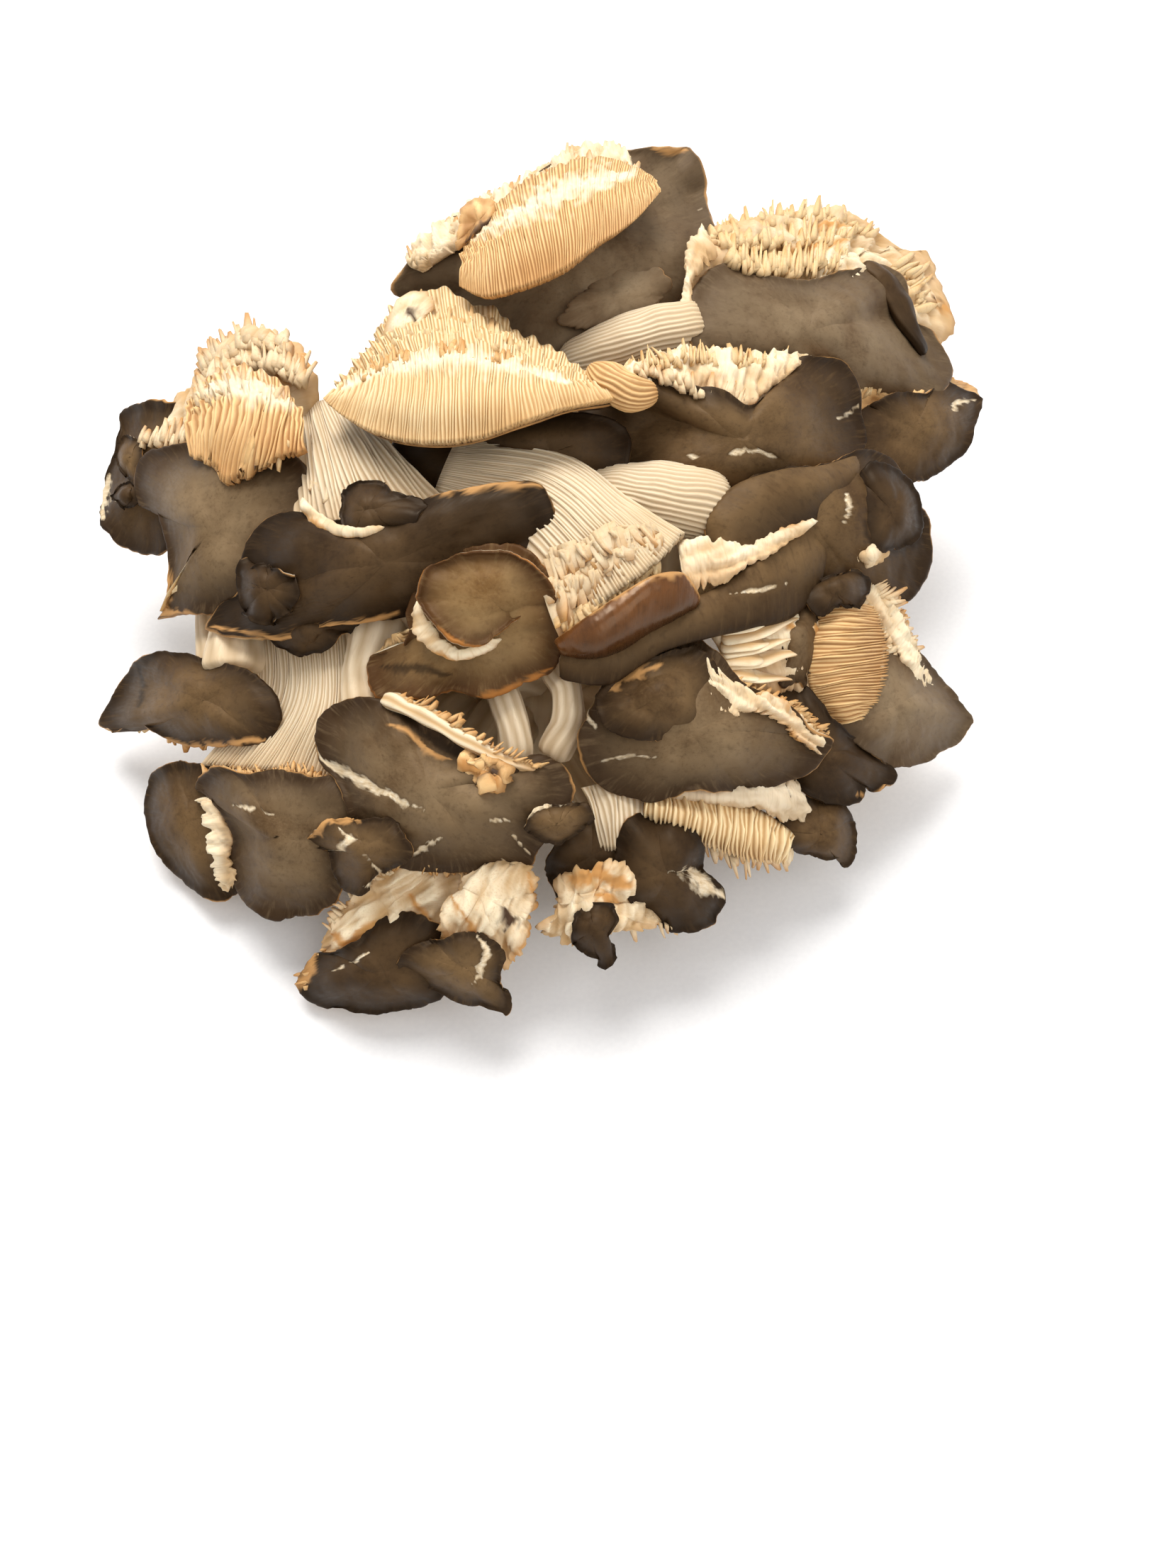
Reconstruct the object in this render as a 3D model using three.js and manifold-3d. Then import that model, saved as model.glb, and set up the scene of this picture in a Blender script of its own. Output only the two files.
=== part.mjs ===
// Oyster mushroom cluster: caps in a rosette on joined stems, standing on the cut base.
// Millimetres, +Z up, origin at the middle of the cut base.
import * as THREE from 'three';
import Module from 'manifold-3d';

const wasm = await Module();
wasm.setup();

// Driving dimensions of the cluster
const CLUSTER_WIDTH = 220;
const BASE_RADIUS = 31;
const BASE_HEIGHT = 30;
const CAP_FLESH = 2.4;
const GILL_FLESH = 1.5;
const GILL_RIDGE = 1.3;
const GAP = 0.8;
const CROWN_HEIGHT = 72;

// Forms are laid out as they lie on the domed top of the cluster, seen from in front and above:
// across, up and how far each point stands out of the dome
const EYE = new THREE.Vector3(10.3, -180.9, 257.1);
const SCALE = CLUSTER_WIDTH / 220;

function seen([u, v, d]) {
  const ray = new THREE.Vector3(u, 0.857 * v, 45 + 0.515 * v).sub(EYE);
  const height = CROWN_HEIGHT + 0.42 * v - 0.0016 * v * v - 0.0035 * u * u;
  ray.multiplyScalar((height - EYE.z) / ray.z);
  return EYE.clone().addScaledVector(ray, 1 - d / ray.length()).multiplyScalar(SCALE);
}

function triples(list) {
  const out = [];
  for (let k = 0; k < list.length; k += 3) out.push(list.slice(k, k + 3));
  return out;
}

// A solid from vertices and triangles, turned right side out
function solid(verts, tris) {
  let volume = 0;
  const a = new THREE.Vector3(), b = new THREE.Vector3();
  for (let k = 0; k < tris.length; k += 3) {
    a.copy(verts[tris[k]]);
    b.copy(verts[tris[k + 1]]);
    volume += a.cross(b).dot(verts[tris[k + 2]]);
  }
  const order = volume < 0 ? tris.slice().reverse() : tris;
  const vertProperties = new Float32Array(verts.length * 3);
  verts.forEach((p, k) => p.toArray(vertProperties, 3 * k));
  const mesh = new wasm.Mesh({ numProp: 3, vertProperties, triVerts: Uint32Array.from(order) });
  return new wasm.Manifold(mesh);
}

// A cap's middle surface: rings of points from the hub to a smooth rim, domed by lift and waved
function fanRows(form, columns, rings, grow) {
  const hub = seen(form.hub);
  const curve = new THREE.CatmullRomCurve3(triples(form.rim).map(seen), true, 'centripetal');
  const rim = curve.getSpacedPoints(columns).slice(0, columns);
  const out = form.out ? new THREE.Vector3(...form.out).normalize() : EYE.clone().sub(hub).normalize();
  const lift = form.lift ?? 6, wave = form.wave ?? 0.8, lobes = form.lobes ?? 5;
  return rings.map((r) => rim.map((p, j) => {
    const step = p.clone().sub(hub);
    const point = hub.clone().addScaledVector(step, r);
    if (r === 1) point.addScaledVector(step.normalize(), grow);
    const ripple = wave * r * r * Math.sin((lobes * 2 * Math.PI * j) / columns);
    return point.addScaledVector(out, lift * (r - r * r) + ripple);
  }));
}

// A ribbon surface through rows of guide points, smooth both ways
function ribbonRows(form, columns, rings, grow) {
  const guides = form.rows.map((row) => new THREE.CatmullRomCurve3(triples(row).map(seen)));
  const rows = rings.map(() => []);
  for (let j = 0; j < columns; j += 1) {
    const along = guides.map((g) => g.getPoint(j / (columns - 1)));
    const curve = new THREE.CatmullRomCurve3(along);
    rings.forEach((r, i) => rows[i].push(curve.getPoint(r)));
  }
  const last = rows.length - 1, end = columns - 1;
  const push = (p, q) => p.addScaledVector(p.clone().sub(q).normalize(), grow);
  for (let j = 0; j < columns; j += 1) {
    push(rows[0][j], rows[1][j]);
    push(rows[last][j], rows[last - 1][j]);
  }
  rows.forEach((row) => {
    push(row[0], row[1]);
    push(row[end], row[end - 1]);
  });
  return rows;
}

// A sheet between two offsets of a middle surface; both faces are cut into triangles alike
function sheet(rows, closed, out, front, back) {
  const m = rows.length - 1, n = rows[0].length;
  const at = (i, j) => rows[i][closed ? (j + n) % n : Math.max(0, Math.min(n - 1, j))];
  const normals = rows.map((row, i) => row.map((p, j) => {
    const across = at(i, j + 1).clone().sub(at(i, j - 1));
    const down = at(Math.min(m, i + 1), j).clone().sub(at(Math.max(0, i - 1), j));
    return across.cross(down).normalize();
  }));
  let facing = 0;
  for (let i = closed ? 1 : 0; i <= m; i += 1) normals[i].forEach((d) => { facing += d.dot(out); });
  const turn = facing < 0 ? -1 : 1;
  const verts = [], tris = [];
  const put = (i, j, offset) => {
    const pole = closed && i === 0;
    const normal = pole ? out : normals[i][j].clone().multiplyScalar(turn);
    verts.push(rows[i][j].clone().addScaledVector(normal, offset(i, j)));
    return verts.length - 1;
  };
  const layer = (offset) => rows.map((row, i) => {
    if (closed && i === 0) return row.fill(row[0]).map(((id) => () => id)(put(0, 0, offset)));
    return row.map((p, j) => put(i, j, offset));
  });
  const top = layer(front), low = layer(back);
  const wrap = closed ? n : n - 1;
  for (let i = 0; i < m; i += 1) {
    for (let j = 0; j < wrap; j += 1) {
      const k = (j + 1) % n;
      if (!(closed && i === 0)) {
        tris.push(top[i][j], top[i + 1][j], top[i][k], low[i][j], low[i][k], low[i + 1][j]);
      }
      tris.push(top[i][k], top[i + 1][j], top[i + 1][k], low[i][k], low[i + 1][k], low[i + 1][j]);
    }
  }
  const wall = (a, b) => tris.push(top[a[0]][a[1]], low[a[0]][a[1]], top[b[0]][b[1]],
    top[b[0]][b[1]], low[a[0]][a[1]], low[b[0]][b[1]]);
  for (let j = 0; j < wrap; j += 1) {
    wall([m, j], [m, (j + 1) % n]);
    if (!closed) wall([0, j + 1], [0, j]);
  }
  if (!closed) {
    for (let i = 0; i < m; i += 1) {
      wall([i, 0], [i + 1, 0]);
      wall([i + 1, n - 1], [i, n - 1]);
    }
  }
  return solid(verts, tris);
}

// One leaf of a mushroom, skin or gill layer, and the same leaf grown a little to clear its place
function leaf(form, part, extra) {
  const closed = Boolean(form.rim);
  const rings = form.rings ?? (form.columns > 20 && part === 'skin' ? [0, 0.42, 0.78, 1] : [0, 0.6, 1]);
  const under = part === 'gills' && closed && !form.gillsFront;
  const behind = part === 'skin' && form.gillsFront && !closed;
  const most = behind ? (form.columns + 1) / 2 : under ? 16 : 99;
  const columns = Math.min(most, form.columns ?? 16);
  const inset = under ? 1.2 : 0, sink = under ? 0.6 : 0;
  const rows = (closed ? fanRows : ribbonRows)(form, columns, rings, extra - inset);
  const middle = rows[1][Math.floor(columns / 2)];
  const out = form.out ? new THREE.Vector3(...form.out).normalize() : EYE.clone().sub(middle).normalize();
  const skinUp = (form.gillsFront ? -1 : 1);
  const flesh = form.flesh ?? CAP_FLESH;
  const taper = (i) => (closed ? 1 - 0.45 * rings[i] : 0.85);
  if (part === 'skin') {
    const outer = (i) => skinUp * (GAP / 2 + flesh * taper(i) + extra);
    const inner = () => skinUp * (GAP / 2 + (behind ? 0.3 : 0) - extra);
    return sheet(rows, closed, out, outer, inner);
  }
  const depth = form.ridge ?? GILL_RIDGE;
  const ridge = (i, j) => (extra > 0 || (j % 2 === 1 && (!closed || i > 0)) ? depth : 0);
  const inner = () => skinUp * (extra - GAP / 2 - sink);
  const outer = (i, j) => -skinUp * (GAP / 2 + sink + GILL_FLESH + ridge(i, j) + extra);
  return sheet(rows, closed, out, outer, inner);
}

// A stem: an oval tube along a smooth path, ribbed lengthwise, with closed ends
function stem(path, radii, extra, steps = path.length) {
  const sides = 6;
  const curve = new THREE.CatmullRomCurve3(path, false, 'centripetal');
  const verts = [], tris = [];
  const up = new THREE.Vector3(0.3, 0.2, 1);
  for (let i = 0; i <= steps; i += 1) {
    const t = i / steps, centre = curve.getPoint(t), tangent = curve.getTangent(t);
    const side = tangent.clone().cross(up).normalize();
    const high = side.clone().cross(tangent).normalize();
    const place = t * (radii.length - 1), k = Math.min(radii.length - 2, Math.floor(place));
    const radius = radii[k] + (radii[k + 1] - radii[k]) * (place - k) + extra;
    for (let j = 0; j < sides; j += 1) {
      const angle = (2 * Math.PI * j) / sides, rib = 1 + 0.08 * (j % 2);
      verts.push(centre.clone().addScaledVector(side, radius * rib * Math.cos(angle))
        .addScaledVector(high, 0.82 * radius * rib * Math.sin(angle)));
    }
  }
  for (let i = 0; i < steps; i += 1) {
    for (let j = 0; j < sides; j += 1) {
      const a = i * sides + j, b = i * sides + ((j + 1) % sides);
      tris.push(a, b, a + sides, b, b + sides, a + sides);
    }
  }
  const first = verts.push(curve.getPoint(0)) - 1, last = verts.push(curve.getPoint(1)) - 1;
  for (let j = 0; j < sides; j += 1) {
    tris.push(first, (j + 1) % sides, j);
    tris.push(last, steps * sides + j, steps * sides + ((j + 1) % sides));
  }
  return solid(verts, tris);
}

// Forms: rim or rows hold across, up, out in millimetres
const forms = {};

// Front centre cap, with its stem and white rib
forms.front = {
  hub: [-24, -48, 3], lift: 7, columns: 22,
  rim: [-50.5, -34, -3, -48, -29, -4, -43, -27, -5, -37, -28, -4, -30, -32, -3, -22, -37, -2, -14, -42, -2,
    -6, -42.5, -2, 1, -40.5, -3, 6.3, -43.5, -4, 7.3, -48, -4, 3, -54, -4, 0, -59, -5, -3, -64.5, -6, -14, -65.5, -5,
    -25, -64.5, -5, -33, -62.5, -5, -37, -56, -3, -44, -52, -3, -47, -43, -2],
  rods: [[[-36, -27, -3, -28, -30.5, 0.5, -18, -36, 1.5, -8, -40.5, 0, -1, -42.5, -2], [3.4, 2.6, 2.4, 2, 1.4]],
    [[-37, -9, -16, -39, -18, -13, -40, -27, -10, -38, -33, -6], [4.6, 4.2, 4.2, 4.8]]],
};
// Small cap and torn flap at the front
forms.front_small = {
  hub: [-40, -60, 7], lift: 4, columns: 14, flesh: 2.6,
  rim: [-53, -57.5, 2, -46, -54, 3, -40, -54.5, 4, -34, -54, 4, -29, -61, 3, -33, -64, 2, -37, -65.5, 2,
    -41, -70.5, 0, -46, -67, 0, -47.5, -60.5, 1],
};
// Lowest caps at the bottom
forms.lowest_mid = {
  hub: [-17, -87, 2], lift: 4, columns: 16,
  rim: [-30, -85.5, -3, -25, -82, -1, -19, -79.5, 0, -13, -80.5, 0, -9.5, -83, -1, -9.3, -88, -1,
    -8, -97.5, -3, -12, -95.5, -3, -18, -94.3, -3, -24, -91.5, -3, -29, -89.5, -4],
  fleshRim: [-24, -77, -3, -18, -75, -2, -10, -70.5, -1, -5, -66.5, -2, 0, -68, -2, 1, -70.5, -2, -1, -76, -2,
    -3, -82, -3, -7, -87.5, -4, -12, -88, -5, -18, -87, -6, -23, -83, -5],
};
forms.lowest = {
  hub: [-36, -88, 0], lift: 5, columns: 16,
  rim: [-53.5, -93, -6, -48, -95.6, -6, -40, -96.8, -6, -30, -96, -6, -23, -92.5, -6, -20, -87, -7,
    -24, -81.5, -6, -31, -76.8, -4, -37, -78.5, -3, -42, -83, -3, -50, -84, -4, -55, -90.5, -6],
  fleshRim: [-50, -84, -8, -48.5, -78.5, -7, -43, -72, -6, -38, -66.5, -6, -30, -65.5, -7, -24, -66, -8,
    -21, -72, -8, -22, -80, -10, -30, -86, -11, -42, -88, -10],
};
// Ruffled lobes at the bottom right of the middle
forms.low_right = {
  hub: [28, -66, -1], lift: 5, columns: 16, wave: 1.2,
  rim: [19, -64, -6, 20, -56, -6, 24, -55, -6, 28, -55.8, -5, 33, -59, -5, 35, -66, -5, 40.5, -70.8, -6,
    38, -77.3, -6, 31, -78.8, -6, 25, -76, -6, 21, -70, -6],
  fleshRim: [5, -66, -4, 9, -63.5, -2, 18, -64.5, -4, 24, -72, -5, 26, -77, -6, 18, -79.5, -4, 9, -83.5, -4,
    2, -81.5, -5, -2, -79, -5, 4, -74, -4, 5, -70, -4],
};
forms.low_back = {
  hub: [11, -68, -9], lift: 3, columns: 14,
  rim: [3, -61, -12, 10, -54.5, -12, 16, -52, -12, 21, -58, -13, 22, -70, -14, 16.3, -78, -10, 15, -87, -9,
    8, -82, -9, 4, -74, -12],
};
// Lower right cap with its torn band, the dark lobes beside it and the gilled wedge below
forms.front_right = {
  hub: [33, -33, 4], lift: 6, columns: 22, wave: 0.9, lobes: 6,
  rim: [16, -22, -2, 20, -19, -1, 25, -17, 0, 34, -15, 0, 38.8, -19, 1, 44, -22.5, 1, 52, -26, 0,
    60, -32, -1, 65.5, -35.5, -2, 63, -40, -3, 59, -42.5, -4, 48, -46.5, -3, 36, -47.5, -3, 24, -49, -4,
    16, -47.5, -5, 9, -42, -6, 8, -36, -6, 10, -30, -5, 12.5, -25, -4],
};
forms.wedge = {
  gillsFront: true, columns: 25, ridge: 1.2,
  rows: [[21, -48.5, -9, 31, -50, -8, 40, -51, -7, 48, -53.5, -7, 55, -58.5, -8],
    [23, -50.5, -5, 32, -53, -2, 40, -55.5, -1, 47, -57.5, -1, 55, -60, -4],
    [24, -51.5, -7, 32, -55.5, -5, 40, -59, -4, 47, -61.3, -4, 53.5, -61.5, -6]],
  rings: [0, 0.5, 1],
};
forms.dark_lobes = {
  hub: [65, -40, -3], lift: 4, columns: 16, wave: 1.4, lobes: 4,
  rim: [52.5, -23, -7, 56, -23.5, -6, 60, -26, -6, 66.5, -32, -6, 70, -36, -6, 74, -39.5, -6, 79.2, -44, -7,
    78, -46.7, -7, 72, -46, -6, 70, -49.5, -7, 66.5, -50, -8, 62, -47, -10, 56, -40, -12, 52, -32, -11],
};
forms.small_low = {
  hub: [62.5, -57, -6], lift: 3, columns: 14,
  rim: [54, -55, -9, 58, -53, -9, 62, -52, -9, 66, -51, -9, 69, -54, -10, 70, -60, -11, 69, -63.5, -11,
    64, -62, -10, 57, -58.5, -9],
};
// Round cap in the middle with the lip below it
forms.round = {
  hub: [-13, -7, 5], lift: 8, columns: 22, wave: 0.6,
  rim: [-4, 6.3, -1, -10, 7.5, -1, -20, 5.5, -1, -26.5, 2, -2, -29, -4, -3, -30, -11, -3, -35, -14.5, -4,
    -38.5, -17, -5, -39, -22, -6, -36, -27, -6, -28, -26.5, -5, -20, -25.5, -5, -12, -26, -5, -6, -24, -6,
    2, -19, -6, 3.2, -11, -3, 3, -3, -1, 0, 2, -1],
};
// Long brown cap, chestnut rolled lobe and the fan of gills that ends in it
forms.chestnut = {
  columns: 14, flesh: 3.4, rings: [0, 0.5, 1],
  rows: [[3.5, -13.5, 2, 10, -8.8, 3, 17, -4, 4, 25, 0.8, 4, 31, 0.8, 3, 34.5, -4.5, 1],
    [4, -15.5, 4, 11, -13, 7, 18, -9.5, 8, 25, -5, 8, 31, -3, 6, 34.5, -5, 3],
    [5, -16.8, 2, 11, -17, 3, 18, -15, 4, 25, -11, 4, 31, -7.3, 3, 34.5, -5.6, 1]],
  gillRows: [[-22, 21, -12, -21, 24, -10, -20, 26.5, -10, -19, 29, -12], [-3, 13.5, -9, 0, 18, -6, 2, 23, -6,
    4, 26.5, -9], [3, 3, -5, 9, 8, -2, 14, 13, -2, 18, 16, -5], [4.5, -12, -1, 14, -5, 1, 24, 2, 1, 32, 9, -1]],
  gillsFront: true, gillColumns: 15,
};
forms.long = {
  neck: [40, -8, 1], columns: 13, rings: [0, 0.5, 1],
  rows: [[5, -17, 0, 16, -16.5, 1, 26, -11.5, 1, 35, -6, 1, 45, 1.5, 1, 54, 8.5, 0, 62, 14, -3],
    [4, -19, 0, 16, -19, 2, 27, -13, 4, 37, -9.5, 5, 47, -4, 5, 56, 1, 3, 63.5, 6, -2],
    [4, -20.5, -2, 15, -22, -1, 26, -15.5, 0, 37, -12.5, 0, 47, -10, 0, 55, -7.5, -2, 61, -1, -5]],
  rods: [[[31, 8.5, -4, 38, 6, -3, 46, 7.5, -3, 54, 9.8, -3, 61, 13, -6], [1.6, 3.6, 3.4, 2.2, 1.4]]],
};
forms.torn = {
  gillsFront: true, columns: 12, ridge: 1.2, rings: [0, 0.5, 1],
  rows: [[40, -12, -6, 46, -10.5, -5, 51, -9, -4, 57, -7, -5, 61, -7, -7],
    [42, -17, -4, 47, -16, -3, 52, -15, -2, 57, -14, -3, 61.5, -14, -6],
    [45, -22.5, -7, 49, -23, -6, 53, -23.5, -6, 56, -24, -6, 59, -22.5, -8]],
};
// Right hand group: curled cap, oval of gills, low cap with a white toothed band
forms.curled = {
  hub: [61, 14, -1], lift: 5, columns: 22, wave: 0.8,
  rim: [37, 9, -6, 37.5, 16, -4, 43, 21, -2, 52, 24.5, -1, 62, 25.7, -1, 72, 29, -3, 78, 27, -4, 82, 22, -5,
    86, 16, -7, 87.6, 8, -9, 87, 2, -11, 82, -4, -13, 74, -4, -12, 64, 0, -12, 54, 4, -11, 45, 7, -9],
  rods: [[[10, 20.5, -16, 20, 19, -12, 30, 17, -9, 40, 15.5, -8], [3.2, 5.6, 6.6, 7]]],
};
forms.oval = {
  gillsFront: true, hub: [66, -2, 3], lift: 2, columns: 12,
  rim: [60, -3.5, -1, 64, -1.2, 0, 68, 0.3, 0, 72, 0.6, -1, 72.3, -3, -1, 70.5, -5.3, 0, 66, -5.4, 0,
    62, -7, -1],
  skinFront: true,
  gillRows: [[62, -8.5, -6, 60.5, -15, -5, 60.3, -21, -5, 62, -26.5, -6, 66, -30.5, -8],
    [68.5, -6.8, -2, 68, -13, 1, 68, -20, 1, 68.5, -26, 0, 69, -30.5, -4],
    [71.5, -7.5, -6, 75, -12, -5, 75.8, -19, -5, 74.5, -25.5, -6, 71.5, -29.5, -8]],
  gillColumns: 19,
};
forms.right_low = {
  hub: [81, -29, -3], lift: 4, columns: 16, wave: 0.8,
  rim: [76, -16.5, -9, 80, -16.5, -8, 85, -20.5, -8, 90, -24, -10, 93.5, -27, -11, 96.3, -31.5, -13,
    92, -37, -13, 85, -40.5, -12, 78, -41.5, -10, 72, -37, -8, 67, -32.5, -8, 71, -31, -7, 75, -26.5, -7],
  rods: [[[73, -1, -8, 79, -6.5, -7, 81.5, -13, -7, 83.5, -19, -8, 85, -25, -12], [1.8, 3, 2.8, 2.4, 2.2]]],
};
// Centre right cap under its torn strip, with a curled gilled lobe at the left
forms.centre_right = {
  hub: [45, 33, -1], lift: 5, columns: 22, wave: 0.8, lobes: 6,
  rim: [14.5, 38, -5, 19, 44, -5, 27, 44.8, -4, 33, 43.5, -3, 40, 42, -2, 46, 38.5, -2, 52, 43, -3,
    61, 50.5, -5, 67, 49.5, -6, 70.8, 44.5, -7, 71.5, 38, -8, 72.3, 31, -9, 70, 25.5, -8, 60, 24, -8,
    50, 23, -9, 40, 22.5, -10, 30, 23.5, -11, 20, 25, -11, 15, 31, -8],
  rods: [[[12, 48, -4, 16, 45, -2, 21, 42.5, -1, 25, 42, -3], [1.6, 3.4, 3.6, 2]]],
  gillRim: [14, 40, -8, 18, 50.5, -8, 25, 52.5, -7, 33, 53.6, -6, 40, 53, -6, 47, 51.8, -6, 54, 51.8, -6,
    62, 52, -8, 67.5, 50.2, -9, 71.5, 44.5, -10, 72.5, 36, -11, 71, 27, -11, 60, 25, -11, 45, 23.5, -13,
    30, 24.5, -14, 18, 27, -13],
};
// Upturned cap: its gills face forward, its skin faces back and down
forms.upturned = {
  gillsFront: true, columns: 31, ridge: 1.4,
  rows: [[-45, 43, -7, -38.5, 51, -9, -33, 60, -12, -25, 63.5, -13, -16, 61.5, -12, -6, 55, -11, 4, 49, -9,
    12, 45, -7],
  [-46, 42, -4, -38, 47.5, -2, -31, 50.5, 0, -23, 51.5, 1, -14, 50.5, 1, -5, 48, 0, 4, 45, -1, 13, 43, -3],
  [-47, 41, -2, -39, 41, 2, -31, 40, 5, -23, 40, 6, -14, 40.5, 6, -5, 41.5, 5, 5, 42, 3, 14.5, 41.5, 0],
  [-48.5, 40, -2, -41, 34.5, 1, -32, 31, 3, -23, 30.2, 4, -14, 31.5, 4, -4, 35, 4, 6, 38.2, 3, 16, 40, 0]],
  rings: [0, 0.33, 0.67, 1],
};
// Dark left cap with its gilled stem
forms.dark_left = {
  hub: [-35, 5, 2], lift: 7, columns: 22, wave: 0.8, lobes: 6,
  rim: [-67.7, 4, -4, -65, 10.5, -3, -60, 14.4, -2, -53.5, 14, -1, -48, 12, -1, -44.8, 17, 0, -41, 22, 0,
    -35, 21, 0, -27, 16.5, 0, -18, 19.8, 0, -8, 21.3, 0, 0, 21, -1, 2.6, 14.5, -3, 0, 8, -7, -10, 4, -9,
    -20, 1, -9, -27, -3, -8, -35, -6, -6, -46, -9.3, -5, -58, -12.4, -5, -68, -13.3, -6, -75, -11, -8,
    -72, -5, -7, -68, -1, -6],
  gillRows: [[-54, 36.5, -24, -51, 37.5, -22, -48, 38, -22, -45, 37, -23],
    [-53.5, 27, -14, -48, 27.5, -11, -41, 28, -10, -34, 27, -12],
    [-53.5, 16, -9, -44, 18, -7, -33, 19, -7, -23, 18.5, -7]],
  gillColumns: 13, joinUnder: true,
};
forms.shaded = {
  hub: [10, 30, -9], lift: 3, columns: 14,
  rim: [0, 33, -13, 5, 36, -12, 12, 35.5, -12, 19, 32, -12, 19.8, 27, -12, 16, 23.5, -14, 8, 24, -16,
    0, 27, -16],
};
// Lower left: front cap with its stem funnel, edge cap, low cap
forms.left_front = {
  hub: [-58, -58, 3], lift: 7, columns: 22, wave: 0.7,
  rim: [-77.5, -46, -5, -74, -41.2, -3, -67, -43.3, -2, -57, -42.8, -1, -50, -44.7, -2, -45, -46.5, -3,
    -43.5, -50.5, -4, -47, -57, -4, -48, -65, -4, -47.5, -72, -5, -54, -75.8, -5, -62, -75.3, -5,
    -66, -71.5, -6, -69.5, -65, -6, -69, -57, -5, -72, -50.5, -5],
  gillRows: [[-59, -12, -22, -54, -12, -20, -48, -12, -20, -43, -12, -22],
    [-62, -28, -15, -54, -28, -11, -48, -28, -11, -42, -29, -14],
    [-73, -40.5, -8, -64, -41.5, -6, -54, -42, -6, -45, -43.5, -8]],
  gillColumns: 15, joinUnder: true,
};
forms.left_edge = {
  hub: [-79, -54, -5], lift: 4, columns: 16,
  rim: [-80.3, -40.7, -9, -87.3, -43.7, -11, -88.4, -52, -11, -86.5, -60, -11, -80, -67, -11, -72.5, -72.3, -11,
    -70, -66, -12, -69, -58, -13, -72, -50, -11, -76, -44, -9],
};
forms.left_low = {
  hub: [-76, -27, -3], lift: 5, columns: 16, wave: 0.9,
  rim: [-90, -17, -11, -82, -16.5, -9, -74, -19, -8, -66, -21, -7, -62, -24, -7, -59.5, -29, -7,
    -60.5, -35, -8, -69, -36.5, -8, -80, -36.5, -10, -86, -35, -11, -90, -34, -12, -94.5, -34, -14,
    -99, -32.5, -16, -97, -27, -16, -93, -20.5, -13],
  rods: [[[-66, -9, -20, -67, -15, -16, -68, -22, -13], [5.5, 5.5, 6.5]]],
};
// Left group: brown face, gilled lump with its tongue, and the caps behind
forms.left_tongue = {
  gillsFront: true, hub: [-66, 38, 4], lift: 3, columns: 21, ridge: 1.4, single: 'gills',
  rim: [-79, 38, -4, -77, 44, -5, -71, 47.5, -5, -63, 45.5, -4, -57, 41, -4, -53, 34, -4, -51.5, 28.5, -5,
    -58, 26.5, -2, -63, 23.5, 0, -70, 20.3, 1, -72, 25, 0, -75.5, 24, -1, -77, 29, -2],
};
forms.left = {
  hub: [-75, 11, -1], lift: 6, columns: 16, wave: 0.8,
  rim: [-91, 25, -12, -92, 18, -12, -87, 12.5, -11, -83.3, 5, -9, -83.5, -3, -9, -80, -8, -9,
    -74.5, -7, -10, -68, -3, -11, -66, 4, -11, -63, 11, -10, -56.5, 16, -9, -54.5, 24, -9, -62, 27, -7,
    -70, 28.5, -6, -80, 28.3, -7, -88, 28.5, -10],
};
forms.left_back = {
  hub: [-88, 24, -17], lift: 3, columns: 16,
  rim: [-95, 37, -19, -90, 40, -17, -80, 39.5, -16, -76, 34, -19, -82, 25, -22, -85, 14, -24,
    -84, 6.5, -23, -92, 6.5, -22, -98.6, 12.5, -20, -98, 22, -19, -95.5, 30, -18],
  gillHub: [-72, 38, -24],
  gillRim: [-96, 26, -24, -92, 37, -22, -84, 42, -20, -77.5, 47, -17, -73, 53.5, -16, -66, 58, -16, -59, 56, -16,
    -53.5, 53.5, -16, -51, 48, -17, -55, 38, -21, -66, 24, -26, -78, 14, -28, -88, 10, -28, -95, 14, -26],
};
// Top of the cluster: crown cap with its lapel, upper right cap, far right cap
forms.lapel = {
  gillsFront: true, columns: 25, ridge: 1.3, single: 'gills', rings: [0, 0.5, 1],
  rows: [[-17.5, 73, -6, -13, 79, -5, -7, 86, -4, 3, 92, -3, 13, 94, -3, 20, 92.5, -3, 25, 88.5, -3],
    [-17.5, 69.5, -3, -12.5, 72, 1, -5, 76.5, 4, 4, 80.5, 6, 12, 84.5, 6, 19, 87, 4, 25.3, 88, -1],
    [-17.3, 66, -5, -12, 63.3, -2, -3, 65.5, 1, 5, 69, 2, 12, 74.5, 3, 19, 79.5, 2, 25, 86.5, -1]],
};
forms.crown = {
  hub: [6, 74, -11], lift: 3, columns: 22, wave: 1, lobes: 6,
  rim: [-34, 66, -17, -29, 73.5, -15, -20, 81.5, -13, -11, 86, -11, 0, 92.5, -9, 8, 98, -9, 18, 97, -9,
    26, 97.7, -10, 33, 97, -13, 36.5, 91, -13, 37.5, 83, -14, 37.5, 77, -16, 31, 68, -19, 27, 62, -21,
    18, 56, -24, 5, 51, -26, -6, 52, -27, -15, 58, -26, -26, 62, -22],
};
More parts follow.
